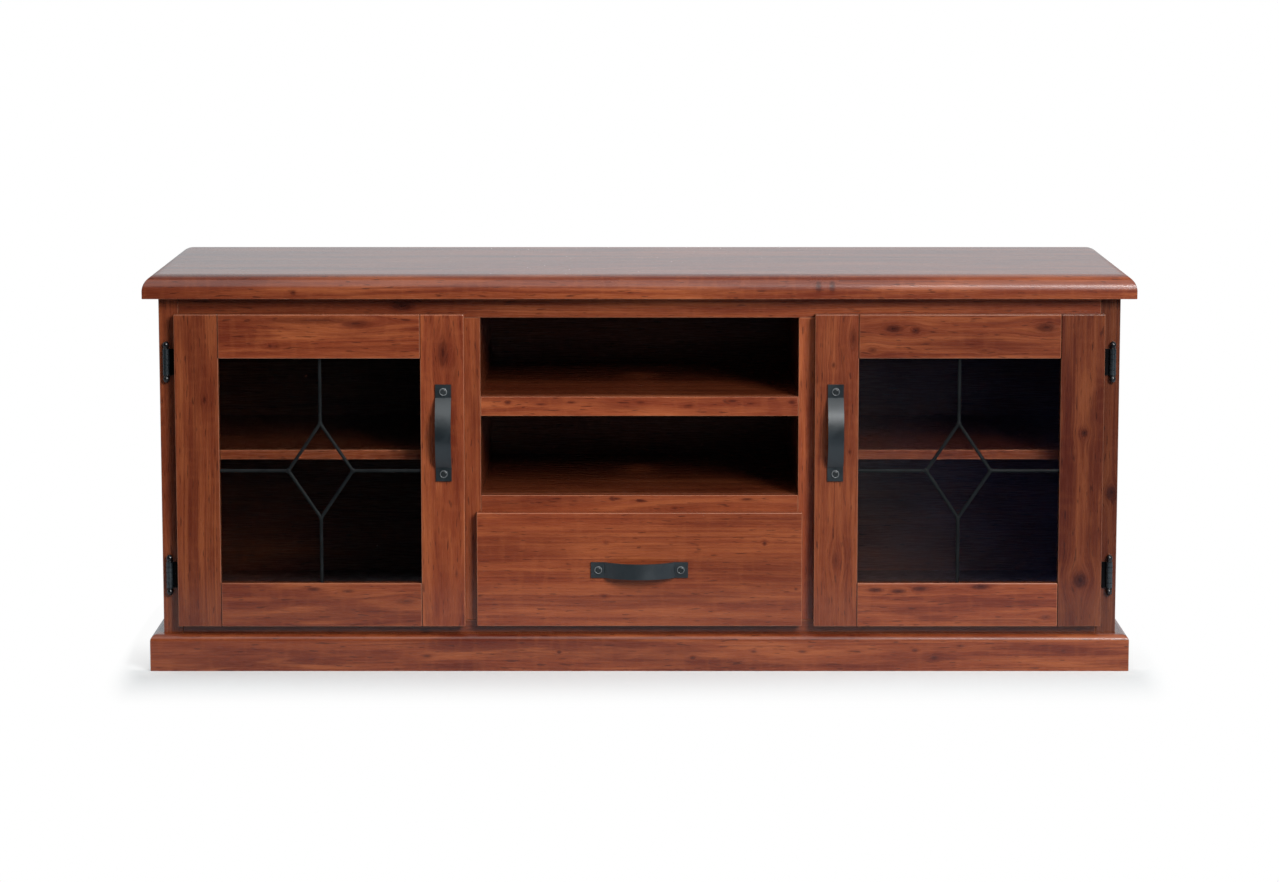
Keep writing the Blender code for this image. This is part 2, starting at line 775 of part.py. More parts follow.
def make_pull(name, centre, along):
    """A bow pull that stands out towards -Y: ``along`` is the direction of its length."""
    out = Vector((0, -1, 0))
    run = Vector(along)
    turn = Matrix((run, out, run.cross(out))).transposed().to_4x4()
    mesh = flat_outline(name, [pull_outline()], PULL_WIDTH)
    pull = add_piece(name, mesh, iron)
    pull.matrix_world = Matrix.Translation(centre) @ turn
    soften(pull, 40)
    bevel = pull.modifiers.new("ease", "BEVEL")
    bevel.width = PULL_EASE
    bevel.segments = 1
    bevel.limit_method = "ANGLE"
    bevel.angle_limit = math.radians(50)
    for number, sign in enumerate((-1, 1)):
        tool = f"{name}_screw_{number}"
        screw = add_helper(tool, profile_mesh(tool, screw_profile()))
        screw.rotation_mode = "QUATERNION"
        screw.rotation_quaternion = UP.rotation_difference(out)
        screw.location = Vector(centre) + run * (sign * PULL_CENTRES / 2) + out * PULL_THICKNESS
        turn_profile(screw, 14)
        join(pull, screw)
    return pull


# Doors


def rail_tenons(rail, side, z):
    """A stub tenon on each end of a rail, fused by running it on into the rail."""
    middle = (DOOR_FRONT + DOOR_BACK) / 2
    depth = (middle - TENON_THICKNESS / 2, middle + TENON_THICKNESS / 2)
    for place, face in (("inner", PANE_INNER), ("outer", PANE_OUTER)):
        across = (side * (face - TENON_LENGTH), side * (face + TENON_LENGTH))
        join(rail, block(f"{rail.name}_{place}_tenon", across, depth, z))


def stile_mortise(stile, side, face, z, place):
    """The slot for a rail's tenon in a stile's inner edge, with a gap all round the tenon."""
    middle = (DOOR_FRONT + DOOR_BACK) / 2
    half = TENON_THICKNESS / 2 + GAP
    reach = TENON_LENGTH + GAP
    slot = block(
        f"{stile.name}_{place}_mortise",
        (side * (face - reach), side * (face + reach)),
        (middle - half, middle + half),
        (z[0] - GAP, z[1] + GAP),
    )
    cut(stile, slot)


def make_door_frame(word, side):
    """Four members round the pane: stiles at full height, rails tenoned between them."""
    depth = (DOOR_FRONT, DOOR_BACK)
    pocket = block(
        f"{word}_door_pocket",
        (side * REBATE_X[0], side * REBATE_X[1]),
        (DOOR_FRONT + GLASS_LIP, DOOR_BACK + OVERSHOOT),
        REBATE_Z,
    )
    rails = (
        ("bottom", (DOOR_BOTTOM, PANE_BOTTOM), (DOOR_BOTTOM + TENON_SHOULDER, REBATE_Z[0] - GAP)),
        ("top", (PANE_TOP, DOOR_TOP), (REBATE_Z[1] + GAP, DOOR_TOP - TENON_SHOULDER)),
    )
    made = []
    for role, limits, tenon_z in rails:
        across = (side * (PANE_INNER + GAP), side * (PANE_OUTER - GAP))
        rail = board(
            f"{word}_door_{role}_rail", across, depth, limits, pine, DOOR_EASE, segments=2
        )
        cut(rail, pocket)
        rail_tenons(rail, side, tenon_z)
        made.append(rail)
    stiles = (
        ("handle", PANE_INNER, (DOOR_INNER, PANE_INNER)),
        ("hinge", PANE_OUTER, (PANE_OUTER, DOOR_OUTER)),
    )
    for role, face, limits in stiles:
        across = (side * limits[0], side * limits[1])
        height = (DOOR_BOTTOM, DOOR_TOP)
        stile = board(
            f"{word}_door_{role}_stile", across, depth, height, pine, DOOR_EASE, segments=2
        )
        cut(stile, pocket)
        for place, _limits, tenon_z in rails:
            stile_mortise(stile, side, face, tenon_z, place)
        made.append(stile)
    return made


def make_glass(word, side):
    across = (side * (REBATE_X[0] + GAP), side * (REBATE_X[1] - GAP))
    height = (REBATE_Z[0] + GAP, REBATE_Z[1] - GAP)
    return board(f"{word}_door_glass", across, (GLASS_FRONT, GLASS_BACK), height, glass, ease=0)


def rectangle(half_across, half_up):
    return [(x * half_across, y * half_up) for x, y in ((-1, -1), (1, -1), (1, 1), (-1, 1))]


def pane_piece(name, side, loops, depth, finish, edge=0.0):
    """A flat piece centred on the pane, from outlines about the pane's middle."""
    mesh = flat_outline(name, loops, depth[1] - depth[0], edge, edge_segments=2)
    stand_up(mesh, side)
    item = add_piece(name, mesh, finish)
    item.location = (side * PANE_CENTRE[0], at_depth((depth[0] + depth[1]) / 2), PANE_CENTRE[1])
    return item


def make_bead(word, side):
    """The glazing bead: a thin frame that fills the rebate behind the glass."""
    half_across = (REBATE_X[1] - REBATE_X[0]) / 2 - GAP
    half_up = (REBATE_Z[1] - REBATE_Z[0]) / 2 - GAP
    width = GLASS_REBATE_WIDTH - GAP
    loops = [rectangle(half_across, half_up), rectangle(half_across - width, half_up - width)]
    return pane_piece(f"{word}_door_bead", side, loops, (BEAD_FRONT, BEAD_BACK), pine_shade)


def came_outline():
    """The lead lattice: a diamond, and a bar from each of its points to the frame.

    Where a bar's edge meets the diamond's edge, both lie half the came's width from their
    middle lines. ``spread`` is how much that half width scales the diamond.
    """
    half = CAME_WIDTH / 2
    wide = DIAMOND_WIDTH / 2
    tall = DIAMOND_HEIGHT / 2
    spread = half * math.hypot(1 / wide, 1 / tall)
    end_across = (PANE_OUTER - PANE_INNER) / 2 - GAP
    end_up = (PANE_TOP - PANE_BOTTOM) / 2 - GAP
    under_bar = (half, tall * (1 + spread - half / wide))
    beside_arm = (wide * (1 + spread - half / tall), half)
    quarter = [(half, end_up), under_bar, beside_arm, (end_across, half)]
    outline = list(quarter)
    outline += [(x, -y) for x, y in reversed(quarter)]
    outline += [(-x, -y) for x, y in quarter]
    outline += [(-x, y) for x, y in reversed(quarter)]
    inner_wide = wide * (1 - spread)
    inner_tall = tall * (1 - spread)
    hole = [(inner_wide, 0), (0, inner_tall), (-inner_wide, 0), (0, -inner_tall)]
    return [outline, hole]


def make_came(word, side):
    back = GLASS_FRONT - GAP
    depth = (back - CAME_THICKNESS, back)
    item = pane_piece(f"{word}_door_lead_came", side, came_outline(), depth, lead, CAME_ROUND)
    soften(item, 50)
    return item


def make_door(word, side):
    """A glazed door, built shut, on an empty on its hinge line."""
    middle = (DOOR_BOTTOM + DOOR_TOP) / 2
    holder = joint_empty(f"{word}_door_axis", (side * HINGE_X, at_depth(HINGE_DEPTH), middle))
    made = make_door_frame(word, side)
    made.append(make_glass(word, side))
    made.append(make_bead(word, side))
    made.append(make_came(word, side))
    pull_x = DOOR_INNER + DOOR_STILE_WIDTH / 2 - DOOR_PULL_SHIFT
    seat = (side * pull_x, at_depth(DOOR_FRONT - GAP), DOOR_TOP - DOOR_PULL_DROP)
    made.append(make_pull(f"{word}_door_handle", seat, UP))
    for item in made:
        parent_to(item, holder)
    make_hinges(word, side, holder)


# Drawer


def drawer_sides(sheet_groove):
    """Box sides, grooved outside for the runners and inside for the bottom sheet."""
    made = []
    for word, side in SIDES:
        panel = board(
            f"drawer_side_{word}",
            (side * DRAWER_INSIDE_HALF, side * DRAWER_BOX_HALF),
            (DRAWER_BOX_FRONT, DRAWER_BOX_BACK),
            (DRAWER_BOX_BOTTOM, DRAWER_BOX_TOP),
            ply,
        )
        runner_slot = block(
            f"runner_slot_{word}",
            (side * (DRAWER_BOX_HALF - RUNNER_BITE), side * (DRAWER_BOX_HALF + OVERSHOOT)),
            (DRAWER_BOX_FRONT - OVERSHOOT, DRAWER_BOX_BACK + OVERSHOOT),
            (RUNNER_BOTTOM - RUNNER_CLEARANCE, RUNNER_BOTTOM + RUNNER_HEIGHT + GAP),
        )
        cut(panel, runner_slot)
        cut(panel, sheet_groove)
        made.append(panel)
    return made


def make_drawer():
    """A lay-on front with a grooved box behind it, on an empty at the back of the front."""
    holder = joint_empty("drawer_axis", (0, at_depth(DRAWER_FRONT_BACK), RUNNER_BOTTOM))
    front_half = HALF_BAY + DRAWER_SIDE_OVERLAP
    front_depth = (DRAWER_FRONT_FACE, DRAWER_FRONT_BACK)
    front_z = (DOOR_BOTTOM, DRAWER_FRONT_TOP)
    across = (-front_half, front_half)
    front = board("drawer_front", across, front_depth, front_z, pine, DOOR_EASE, segments=2)

    sheet_low = DRAWER_BOX_BOTTOM + DRAWER_SHEET_RISE
    sheet_high = sheet_low + DRAWER_SHEET_THICKNESS
    groove_half = DRAWER_INSIDE_HALF + DRAWER_SHEET_BITE
    sheet_groove = block(
        "drawer_sheet_groove",
        (-groove_half, groove_half),
        (DRAWER_BOX_FRONT - OVERSHOOT, DRAWER_BOX_BACK + OVERSHOOT),
        (sheet_low - GAP, sheet_high + GAP),
    )
    made = [front, *drawer_sides(sheet_groove)]

    inside = (-DRAWER_INSIDE_HALF + GAP, DRAWER_INSIDE_HALF - GAP)
    back_depth = (DRAWER_BOX_BACK - DRAWER_BACK_THICKNESS, DRAWER_BOX_BACK)
    back_z = (sheet_high + GAP, DRAWER_BOX_TOP)
    made.append(board("drawer_back", inside, back_depth, back_z, ply))
    sheet = (-groove_half + GAP, groove_half - GAP)
    sheet_depth = (DRAWER_BOX_FRONT, DRAWER_BOX_BACK)
    made.append(board("drawer_bottom", sheet, sheet_depth, (sheet_low, sheet_high), ply, ease=0))
    seat = (0, at_depth(DRAWER_FRONT_FACE - GAP), (DOOR_BOTTOM + DRAWER_FRONT_TOP) / 2)
    made.append(make_pull("drawer_handle", seat, (1, 0, 0)))
    for item in made:
        parent_to(item, holder)


clear_scene()
parts = new_collection("tv_unit")
cutters = new_collection("cutters")

pine = principled("pine", PINE, 0.42)
pine_shade = principled("pine_shade", PINE_SHADE, 0.50)
ply = principled("ply", PLY, 0.60)
iron = principled("iron", IRON, 0.38, metallic=0.8)
lead = principled("lead", LEAD, 0.45, metallic=0.6)
glass = principled("glass", GLASS, 0.05, alpha=0.35)
catch_plastic = principled("catch_plastic", CATCH, 0.50)

make_top()
make_sides()
make_partitions()
make_face_frame()
make_bay_shelves()
make_cupboard_boards()
make_back()
make_plinth()
make_runners()
make_catches()
for side_word, side_sign in SIDES:
    make_door(side_word, side_sign)
make_drawer()
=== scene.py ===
# %% [markdown]
# # Dressing a stained pine TV unit
#
# This lesson takes the plain solids of a TV unit and gives them the looks of the real one:
# stained and lacquered pine, dark iron pulls and hinges, leadlight doors and a studio to
# stand in. The solids come first, as a frame that never moves. Flat boards keep their solids
# and get a better finish. Curved pieces are made again, finer, in the same places.

# %% Load the frame
import math
import random

import bmesh
import bpy
from mathutils import Matrix, Vector


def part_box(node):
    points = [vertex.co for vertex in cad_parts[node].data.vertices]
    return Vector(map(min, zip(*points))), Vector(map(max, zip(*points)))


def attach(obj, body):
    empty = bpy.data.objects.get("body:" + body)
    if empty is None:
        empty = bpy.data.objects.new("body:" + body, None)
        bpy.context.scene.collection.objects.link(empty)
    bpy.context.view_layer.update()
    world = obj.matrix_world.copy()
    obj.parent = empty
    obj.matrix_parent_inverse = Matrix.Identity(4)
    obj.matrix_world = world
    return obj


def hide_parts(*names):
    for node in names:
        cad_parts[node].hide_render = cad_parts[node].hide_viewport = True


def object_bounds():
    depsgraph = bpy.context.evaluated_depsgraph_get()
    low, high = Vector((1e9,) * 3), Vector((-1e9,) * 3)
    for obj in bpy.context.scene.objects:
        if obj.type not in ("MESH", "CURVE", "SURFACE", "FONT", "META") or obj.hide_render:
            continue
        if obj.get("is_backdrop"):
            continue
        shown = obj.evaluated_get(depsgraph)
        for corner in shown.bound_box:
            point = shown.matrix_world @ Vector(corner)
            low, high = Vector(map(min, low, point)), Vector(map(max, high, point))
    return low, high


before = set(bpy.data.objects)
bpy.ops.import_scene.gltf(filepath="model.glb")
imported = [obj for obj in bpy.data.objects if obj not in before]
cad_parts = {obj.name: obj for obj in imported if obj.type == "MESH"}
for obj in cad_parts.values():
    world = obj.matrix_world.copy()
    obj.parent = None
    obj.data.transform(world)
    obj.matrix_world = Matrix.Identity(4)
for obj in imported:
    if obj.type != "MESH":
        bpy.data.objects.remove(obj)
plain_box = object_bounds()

scene = bpy.context.scene
MM = 0.001

# %% [markdown]
# ## The camera
#
# The photograph was taken from straight in front, slightly above, with a long lens, which
# keeps the doors' sides nearly parallel. A camera could be placed by eye, but then no piece
# could be judged against the photograph. So its place, tilt and lens were worked out from
# the corners of the top and the plinth, and a piece in the right place lines up.

# %% Camera
CAMERA_PLACE = (0.0, -6.0682, 1.1938)
CAMERA_TILT = 81.904
LENS = 107.51


def stand(name, data):
    """A new object of this data, put into the scene."""
    made = bpy.data.objects.new(name, data)
    scene.collection.objects.link(made)
    return made


camera = stand("camera", bpy.data.cameras.new("camera"))
camera.location = CAMERA_PLACE
camera.rotation_euler = (math.radians(CAMERA_TILT), 0.0, 0.0)
camera.data.lens = LENS
camera.data.sensor_width = 36.0
camera.data.clip_end = 200.0
scene.camera = camera
scene.view_settings.view_transform = "Standard"
print("camera at", CAMERA_PLACE, "with a", LENS, "mm lens")

# %% [markdown]
# ## Node trees in few words
#
# Every finish here is a small program of shader nodes. Drawn as nodes it is easy to read, but
# it is long to write, and sums are clearer when they are written as sums. So a `Wire` stands
# for a node's output: `a * b + 2` adds two Math nodes and gives the wire that comes out of
# the last. `put` adds any node and feeds its inputs with numbers or wires.

# %% Wires
class Wire:
    """The output of a node. A sum with it adds a Math node to the same tree."""

    def __init__(self, socket):
        self.socket = socket
        self.tree = socket.id_data

    def math(self, operation, *others, clamp=False):
        return wire(self.tree, "Math", enumerate((self, *others)), operation=operation,
                    use_clamp=clamp)

    def __add__(self, other):
        return self.math("ADD", other)

    def __sub__(self, other):
        return self.math("SUBTRACT", other)

    def __mul__(self, other):
        return self.math("MULTIPLY", other)

    def __truediv__(self, other):
        return self.math("DIVIDE", other)

    def least(self, other):
        return self.math("MINIMUM", other)

    def most(self, other):
        return self.math("MAXIMUM", other)

    def flip(self):
        """One less this share."""
        return self * -1.0 + 1.0

    def fade(self, start, end, low=0.0, high=1.0):
        """A smooth step: low up to start, high from end on."""
        feeds = {"Value": self, "From Min": start, "From Max": end, "To Min": low, "To Max": high}
        return wire(self.tree, "MapRange", feeds, interpolation_type="SMOOTHSTEP")

    def between(self, under, over):
        """A number between two others, by this share."""
        return wire(self.tree, "Mix", {0: self, 2: under, 3: over})

    def tint(self, under, over):
        """One colour laid over another, by this share."""
        return wire(self.tree, "Mix", {0: self, 6: under, 7: over}, 2, data_type="RGBA")


print("wires can add, subtract, multiply and divide")

# %% Node helpers
def put(tree, kind, feeds=(), **settings):
    node = tree.nodes.new("ShaderNode" + kind)
    for name, value in settings.items():
        setattr(node, name, value)
    feed(node, feeds)
    return node


def feed(node, feeds):
    for key, value in dict(feeds).items():
        if isinstance(value, Wire):
            node.id_data.links.new(value.socket, node.inputs[key])
        else:
            node.inputs[key].default_value = value


def wire(tree, kind, feeds=(), key=0, **settings):
    return Wire(put(tree, kind, feeds, **settings).outputs[key])


def wires(node):
    return {socket.name: Wire(socket) for socket in node.outputs}


def noise(place, scale, detail=2.0, roughness=0.5):
    feeds = {"Vector": place, "Scale": scale, "Detail": detail, "Roughness": roughness}
    return wire(place.tree, "TexNoise", feeds)


def vectors(operation, first, *others, key=0):
    return wire(first.tree, "VectorMath", enumerate((first, *others)), key, operation=operation)


def pack(tree, x, y, z):
    return wire(tree, "CombineXYZ", {0: x, 1: y, 2: z})


def unpack(vector):
    return [Wire(socket) for socket in put(vector.tree, "SeparateXYZ", {0: vector}).outputs]


def dim(colour, level):
    """A colour made lighter or darker by a number."""
    grey = pack(colour.tree, level, level, level)
    return wire(colour.tree, "Mix", {0: 1.0, 6: colour, 7: grey}, 2, data_type="RGBA",
                blend_type="MULTIPLY")


print("node helpers ready")

# %% [markdown]
# An effect that several finishes share could be copied into each material, but then a change
# would have to be made in all of them. A node group is made once, with named inputs and
# outputs, and placed in each material with its own values. `group` makes an empty one from
# lists of names, and `place_group` puts one into a material.

# %% Group helpers
SOCKETS = {"value": "NodeSocketFloat", "vector": "NodeSocketVector", "colour": "NodeSocketColor"}


def group(name, takes, gives):
    """An empty node group: the wires that come in, and the node that its results go to."""
    tree = bpy.data.node_groups.new(name, "ShaderNodeTree")
    for way, sockets in (("INPUT", takes), ("OUTPUT", gives)):
        for kind, labels in sockets.items():
            for label in labels.split():
                tree.interface.new_socket(label, in_out=way, socket_type=SOCKETS[kind])
    into = wires(tree.nodes.new("NodeGroupInput"))
    out = tree.nodes.new("NodeGroupOutput")
    print("group", name, "gives", *gives.values())
    return tree, into, out


def place_group(tree, name, feeds):
    node = tree.nodes.new("ShaderNodeGroup")
    node.node_tree = bpy.data.node_groups[name]
    feed(node, feeds)
    return wires(node)


def new_material(name):
    """A material with its tree and its Principled shader."""
    material = bpy.data.materials.new(name)
    material.use_nodes = True
    tree = material.node_tree
    return material, tree, tree.nodes["Principled BSDF"]


print("groups can have", *SOCKETS)

# %% [markdown]
# ## Knots
#
# Pine is full of knots: a branch cuts through the board as a dark, roughly round plug, and
# the grain parts and flows round it. Painted knots would blur close up, so each is worked out
# from the distance to its middle. `Core` is the dark plug with its own rings, `Halo` is the
# darker wood about it, and `Swell` is how far the grain lines are pushed aside. Each knot
# adds to what the knot before it gave, so a board can have a row of them. `Squeeze` is one
# over the knot's size in each direction, so it can be round, or long and thin.

# %% Knot group
def knot_group():
    tree, into, out = group("knot", {"vector": "Vector Centre Squeeze",
                                     "value": "Depth Swell Core Halo"},
                            {"value": "Swell Core Halo"})
    offset = vectors("SUBTRACT", into["Vector"], into["Centre"])
    shape = vectors("MULTIPLY", offset, into["Squeeze"])
    length = vectors("LENGTH", shape, key="Value")
    reach = noise(shape, 1.7, 3.0) * 0.7 + (length - 0.35)
    square = reach * reach
    bell = (square * -0.16).math("EXPONENT")
    wide = (square * -0.30).math("EXPONENT")
    heart = reach.fade(0.15, 0.75, 1.0, 0.0)
    plug = reach.fade(0.75, 1.30, 0.62, 0.0)
    rings = (reach * 7.0).math("SINE") * 0.5 + 0.5
    dark = heart.most(plug).most(rings * wide * 0.45)
    feed(out, {
        "Swell": into["Swell"] + unpack(offset)[1] * bell,
        "Core": into["Core"].most(dark * into["Depth"]),
        "Halo": into["Halo"].most(wide * into["Depth"]),
    })


knot_group()

# %% [markdown]
# ## The figure of the wood
#
# A plank shows growth rings cut along the trunk. A wave texture could draw such lines, but
# all alike and evenly strong. So the group measures how far each point is from the middle of
# the trunk, the pith, which lies well outside the board and wanders only a little along it.
# Even steps of that distance are the rings, and no ring is equally strong all the way. Long
# thin noise that follows the rings gives the streaks, wider noise the blotches where pine
# drinks more stain, and a fine ripple the silky bands that sawn pine shows under lacquer,
# painted in as pale bands of sheen.

# %% Figure group
RING = 3.6 * MM
STREAKS_PER_METRE = 210.0


def figure_group():
    tree, into, out = group("pine_figure", {"vector": "Vector Pith",
                                            "value": "Seed Plank Swell"},
                            {"value": "Growth Streak Blotch Stain Ripple Fibre Fleck"})
    along, across, through = unpack(into["Vector"])
    pith = unpack(into["Pith"])
    own = into["Plank"] * 37.0 + into["Seed"]
    bent = across - into["Swell"]

    def drift(rate, size, row):
        """How far the grain wanders sideways on its way along the plank."""
        return noise(pack(tree, along * rate, own, row), 1.0) * size - size / 2

    def stretched(along_rate, across_rate, detail=1.0, roughness=0.5):
        """Noise that is drawn out along the grain."""
        place = pack(tree, along * along_rate + own, bent * across_rate, through * across_rate)
        return noise(place, 1.0, detail, roughness)

    side = bent - (into["Plank"] * 0.09 + pith[1])
    side = side + drift(0.9, 0.030, 0.0) + drift(7.0, 0.0035, 3.0)
    deep = through - pith[2] + drift(1.1, 0.030, 7.0)
    radius = (side * side + deep * deep).math("SQRT")
    count = radius / RING
    ring = count.math("FRACT")
    which = count.math("FLOOR") + own
    strength = noise(pack(tree, along * 1.8, which * 5.3, 0.0), 1.0, 1.0)
    late = ring.fade(0.10, 0.80) * ring.fade(0.80, 1.0, 1.0, 0.0)
    streak = pack(tree, along * 1.7 + own, radius * STREAKS_PER_METRE, 0.0)
    feed(out, {
        "Growth": late * strength.fade(0.35, 0.70),
        "Streak": noise(streak, 1.0, 4.0, 0.7),
        "Blotch": stretched(4.2, 40.0, 4.0, 0.60),
        "Stain": stretched(2.2, 20.0, 2.0),
        "Ripple": stretched(75.0, 22.0),
        "Fibre": stretched(38.0, 1300.0, 2.0),
        "Fleck": stretched(45.0, 330.0).fade(0.65, 0.72),
    })


figure_group()

# %% [markdown]
# ## Glued planks and pale edges
#
# Wide panels are glued up from planks about as wide as a hand. Each has its own figure, and
# the glue line shows as a hair of darker stain. Sharp edges are paler: partly wear, because
# stain runs off them and hands rub them, and partly a painted highlight for the thin line of
# light that eased edges catch. That could be painted by hand on every board, but a shader can
# find it: of the three distances from a point on a board's surface to its faces, the middle
# one is the distance to the nearest edge. Rounded corners, which get only the painted
# highlight, are found by a surface that faces none of the board's own three ways.

# %% Plank and edge groups
def planks_group():
    tree, into, out = group("glued_planks", {"value": "Across Width Seed"},
                            {"value": "Plank Seam"})
    count = into["Seed"] * 0.37 + into["Across"] / into["Width"]
    part = count.math("FRACT")
    number = count.math("FLOOR") + into["Seed"]
    gap = part.least(part.flip()) * into["Width"]
    feed(out, {
        "Plank": wire(tree, "TexWhiteNoise", {"W": number}, "Value", noise_dimensions="1D"),
        "Seam": gap.fade(0.2 * MM, 0.9 * MM, 0.6, 0.0),
    })


def edge_group():
    tree, into, out = group("worn_and_lit_edge", {"vector": "Vector Low High",
                                             "value": "Width Corners"}, {"value": "Wear"})
    up = vectors("SUBTRACT", into["Vector"], into["Low"])
    down = vectors("SUBTRACT", into["High"], into["Vector"])
    a, b, c = unpack(vectors("MINIMUM", up, down))
    middle = a.least(b).most(a.most(b).least(c))
    ragged = noise(into["Vector"], 90.0, 3.0)
    width = into["Width"] * ragged.fade(0.3, 0.75, 0.15, 1.6)
    # Pale within a ragged width of each edge: partly real wear, partly a painted highlight.
    rubbed_and_lit = (middle / width).fade(0.4, 1.0, 0.45, 0.0)
    # Facets of rounded corners: a painted highlight, the line of light that eased edges catch.
    x, y, z = unpack(vectors("ABSOLUTE", wire(tree, "TexCoord", key="Normal")))
    corner = x.most(y.most(z)).fade(0.90, 0.97, 1.0, 0.0) * into["Corners"]
    feed(out, {"Wear": rubbed_and_lit.most(corner)})


planks_group()
edge_group()

# %% [markdown]
# ## The stain and lacquer
#
# The stain is a thin red-brown dye: orange-brown in early wood, deep red-brown in late wood
# and nearly black in knots. One colour ramp couldn't follow so many marks, so the stain is
# laid on in layers, as a finisher would. The table lists them from the bottom up: the mark
# that a layer follows, where the mark starts and is full, how much the layer covers then,
# its colour, and whether it counts for more on a board of strong contrast. The group also
# gives the roughness and the height of the lacquer, which has sunk a little into the grain.

# %% Stain colours and layers
LIGHT = (0.375, 0.100, 0.033, 1.0)
MID = (0.220, 0.0425, 0.0145, 1.0)
DARK = (0.125, 0.018, 0.0070, 1.0)
DEEP = (0.042, 0.0065, 0.0038, 1.0)
# Pale edge colour: worn stain, and a painted highlight of the edges.
RUBBED_AND_LIT = (0.480, 0.190, 0.100, 1.0)
LAYERS = [
    ("Stain", 0.42, 0.62, 0.70, MID, False), ("Stain", 0.50, 0.34, 0.42, DARK, True),
    ("Blotch", 0.47, 0.66, 0.50, DARK, True), ("Blotch", 0.48, 0.34, 0.48, LIGHT, True),
    # The Ripple layer paints pale bands of sheen on the wood.
    ("Growth", 0.0, 1.0, 0.50, DARK, False), ("Ripple", 0.52, 0.66, 0.13, LIGHT, False),
    ("Fleck", 0.0, 1.0, 0.60, DEEP, False), ("Halo", 0.0, 1.0, 0.60, DARK, False),
    ("Core", 0.0, 1.0, 0.92, DEEP, False), ("Seam", 0.0, 1.0, 0.75, DEEP, False),
    # The last layer, at the edges, is worn stain and a painted highlight.
    ("Wear", 0.0, 1.0, 0.60, RUBBED_AND_LIT, False),
]
DEPTHS = {"Growth": -0.35, "Ripple": 0.5, "Seam": -0.8, "Core": -0.4}
print(len(LAYERS), "layers of stain")

# %% Stain group
def stain_group():
    marks = ("Growth Streak Blotch Stain Ripple Fibre Fleck "
             "Core Halo Seam Wear Plank Tone Contrast")
    tree, into, out = group("stained_lacquer", {"value": marks},
                            {"colour": "Colour", "value": "Roughness Height"})
    colour = into["Streak"].fade(0.36, 0.62, 0.15, 0.85).tint(LIGHT, MID)
    for label, start, full, cover, stain, patchy in LAYERS:
        share = into[label].fade(start, full) * cover
        if patchy:
            share = share.math("MULTIPLY", into["Contrast"], clamp=True)
        colour = share.tint(colour, stain)
    grain = into["Fibre"] * 0.40 + 0.80
    plank = into["Plank"] * 0.20 + 0.90
    height = into["Fibre"] * 0.45
    for label, depth in DEPTHS.items():
        height = into[label] * depth + height
    feed(out, {
        "Colour": dim(colour, grain * plank * into["Tone"]),
        "Roughness": into["Wear"] * 0.08 + (into["Fibre"] * 0.14 + 0.20),
        "Height": height,
    })


stain_group()

# %% [markdown]
# ## Which board is which
#
# No two boards of the real unit are alike, so every board gets its own finish. Tables and one
# function do that, and a change to one board is then a change to one number. The first table
# says which way a board's grain runs and how light it is beside the others. Uprights have
# upright grain and rails level grain, as a joiner would cut them. Wide boards, the walls and
# the flat ones, are glued up from planks, but the drawer's bottom is one thin sheet. The top
# and the plinth aren't in the table, because they are made again further down.

# %% The boards
PLANK = 96 * MM
GLUED = ("wall", "flat")
THIN_SHEET = "drawer_bottom"
BOARDS = {
    "wall": {"side_panel_left": 0.62, "side_panel_right": 0.62, "partition_left": 0.70,
             "partition_right": 0.70},
    "flat": {"av_shelf_upper": 0.72, "av_shelf_lower": 0.60, "cabinet_floor": 0.40,
             "inner_shelf_left": 0.55, "inner_shelf_right": 0.55, "drawer_bottom": 0.70},
    "x": {"face_top_rail": 0.93, "face_bottom_rail": 0.70, "face_shelf_rail_upper": 1.14,
          "face_shelf_rail_lower": 0.97, "drawer_front": 0.94, "drawer_back": 0.75,
          "back_panel": 0.40, "left_door_top_rail": 0.97, "left_door_bottom_rail": 0.96,
          "right_door_top_rail": 0.77, "right_door_bottom_rail": 1.02},
    "y": {"drawer_runner_left": 0.75, "drawer_runner_right": 0.75, "drawer_side_left": 0.75,
          "drawer_side_right": 0.75},
    "z": {"face_stile_left": 0.78, "face_stile_right": 0.42, "face_mullion_left": 0.89,
          "face_mullion_right": 1.13, "left_door_hinge_stile": 0.76, "left_door_handle_stile": 1.02,
          "right_door_hinge_stile": 0.54, "right_door_handle_stile": 0.80, "left_door_bead": 0.62,
          "right_door_bead": 0.62},
}
print(sum(len(tones) for tones in BOARDS.values()), "boards keep their solids")

# %% [markdown]
# Some boards have more to say. A painted shade is a slow change of tone that paints light and
# shade onto a board: the top, the face's top rail and the plinth darker to the left, the
# drawer front darker to the right, and the inner shelves' front edges lighter than their tops.
# Each row gives from where to where, in metres from the board's low end, the tone that it
# starts with, and along which axis. A contrast above 1 makes the blotches stronger. A door
# stile has a dark joint line on one side, where it meets the rails: 1 stands for its right
# side and -1 for its left.

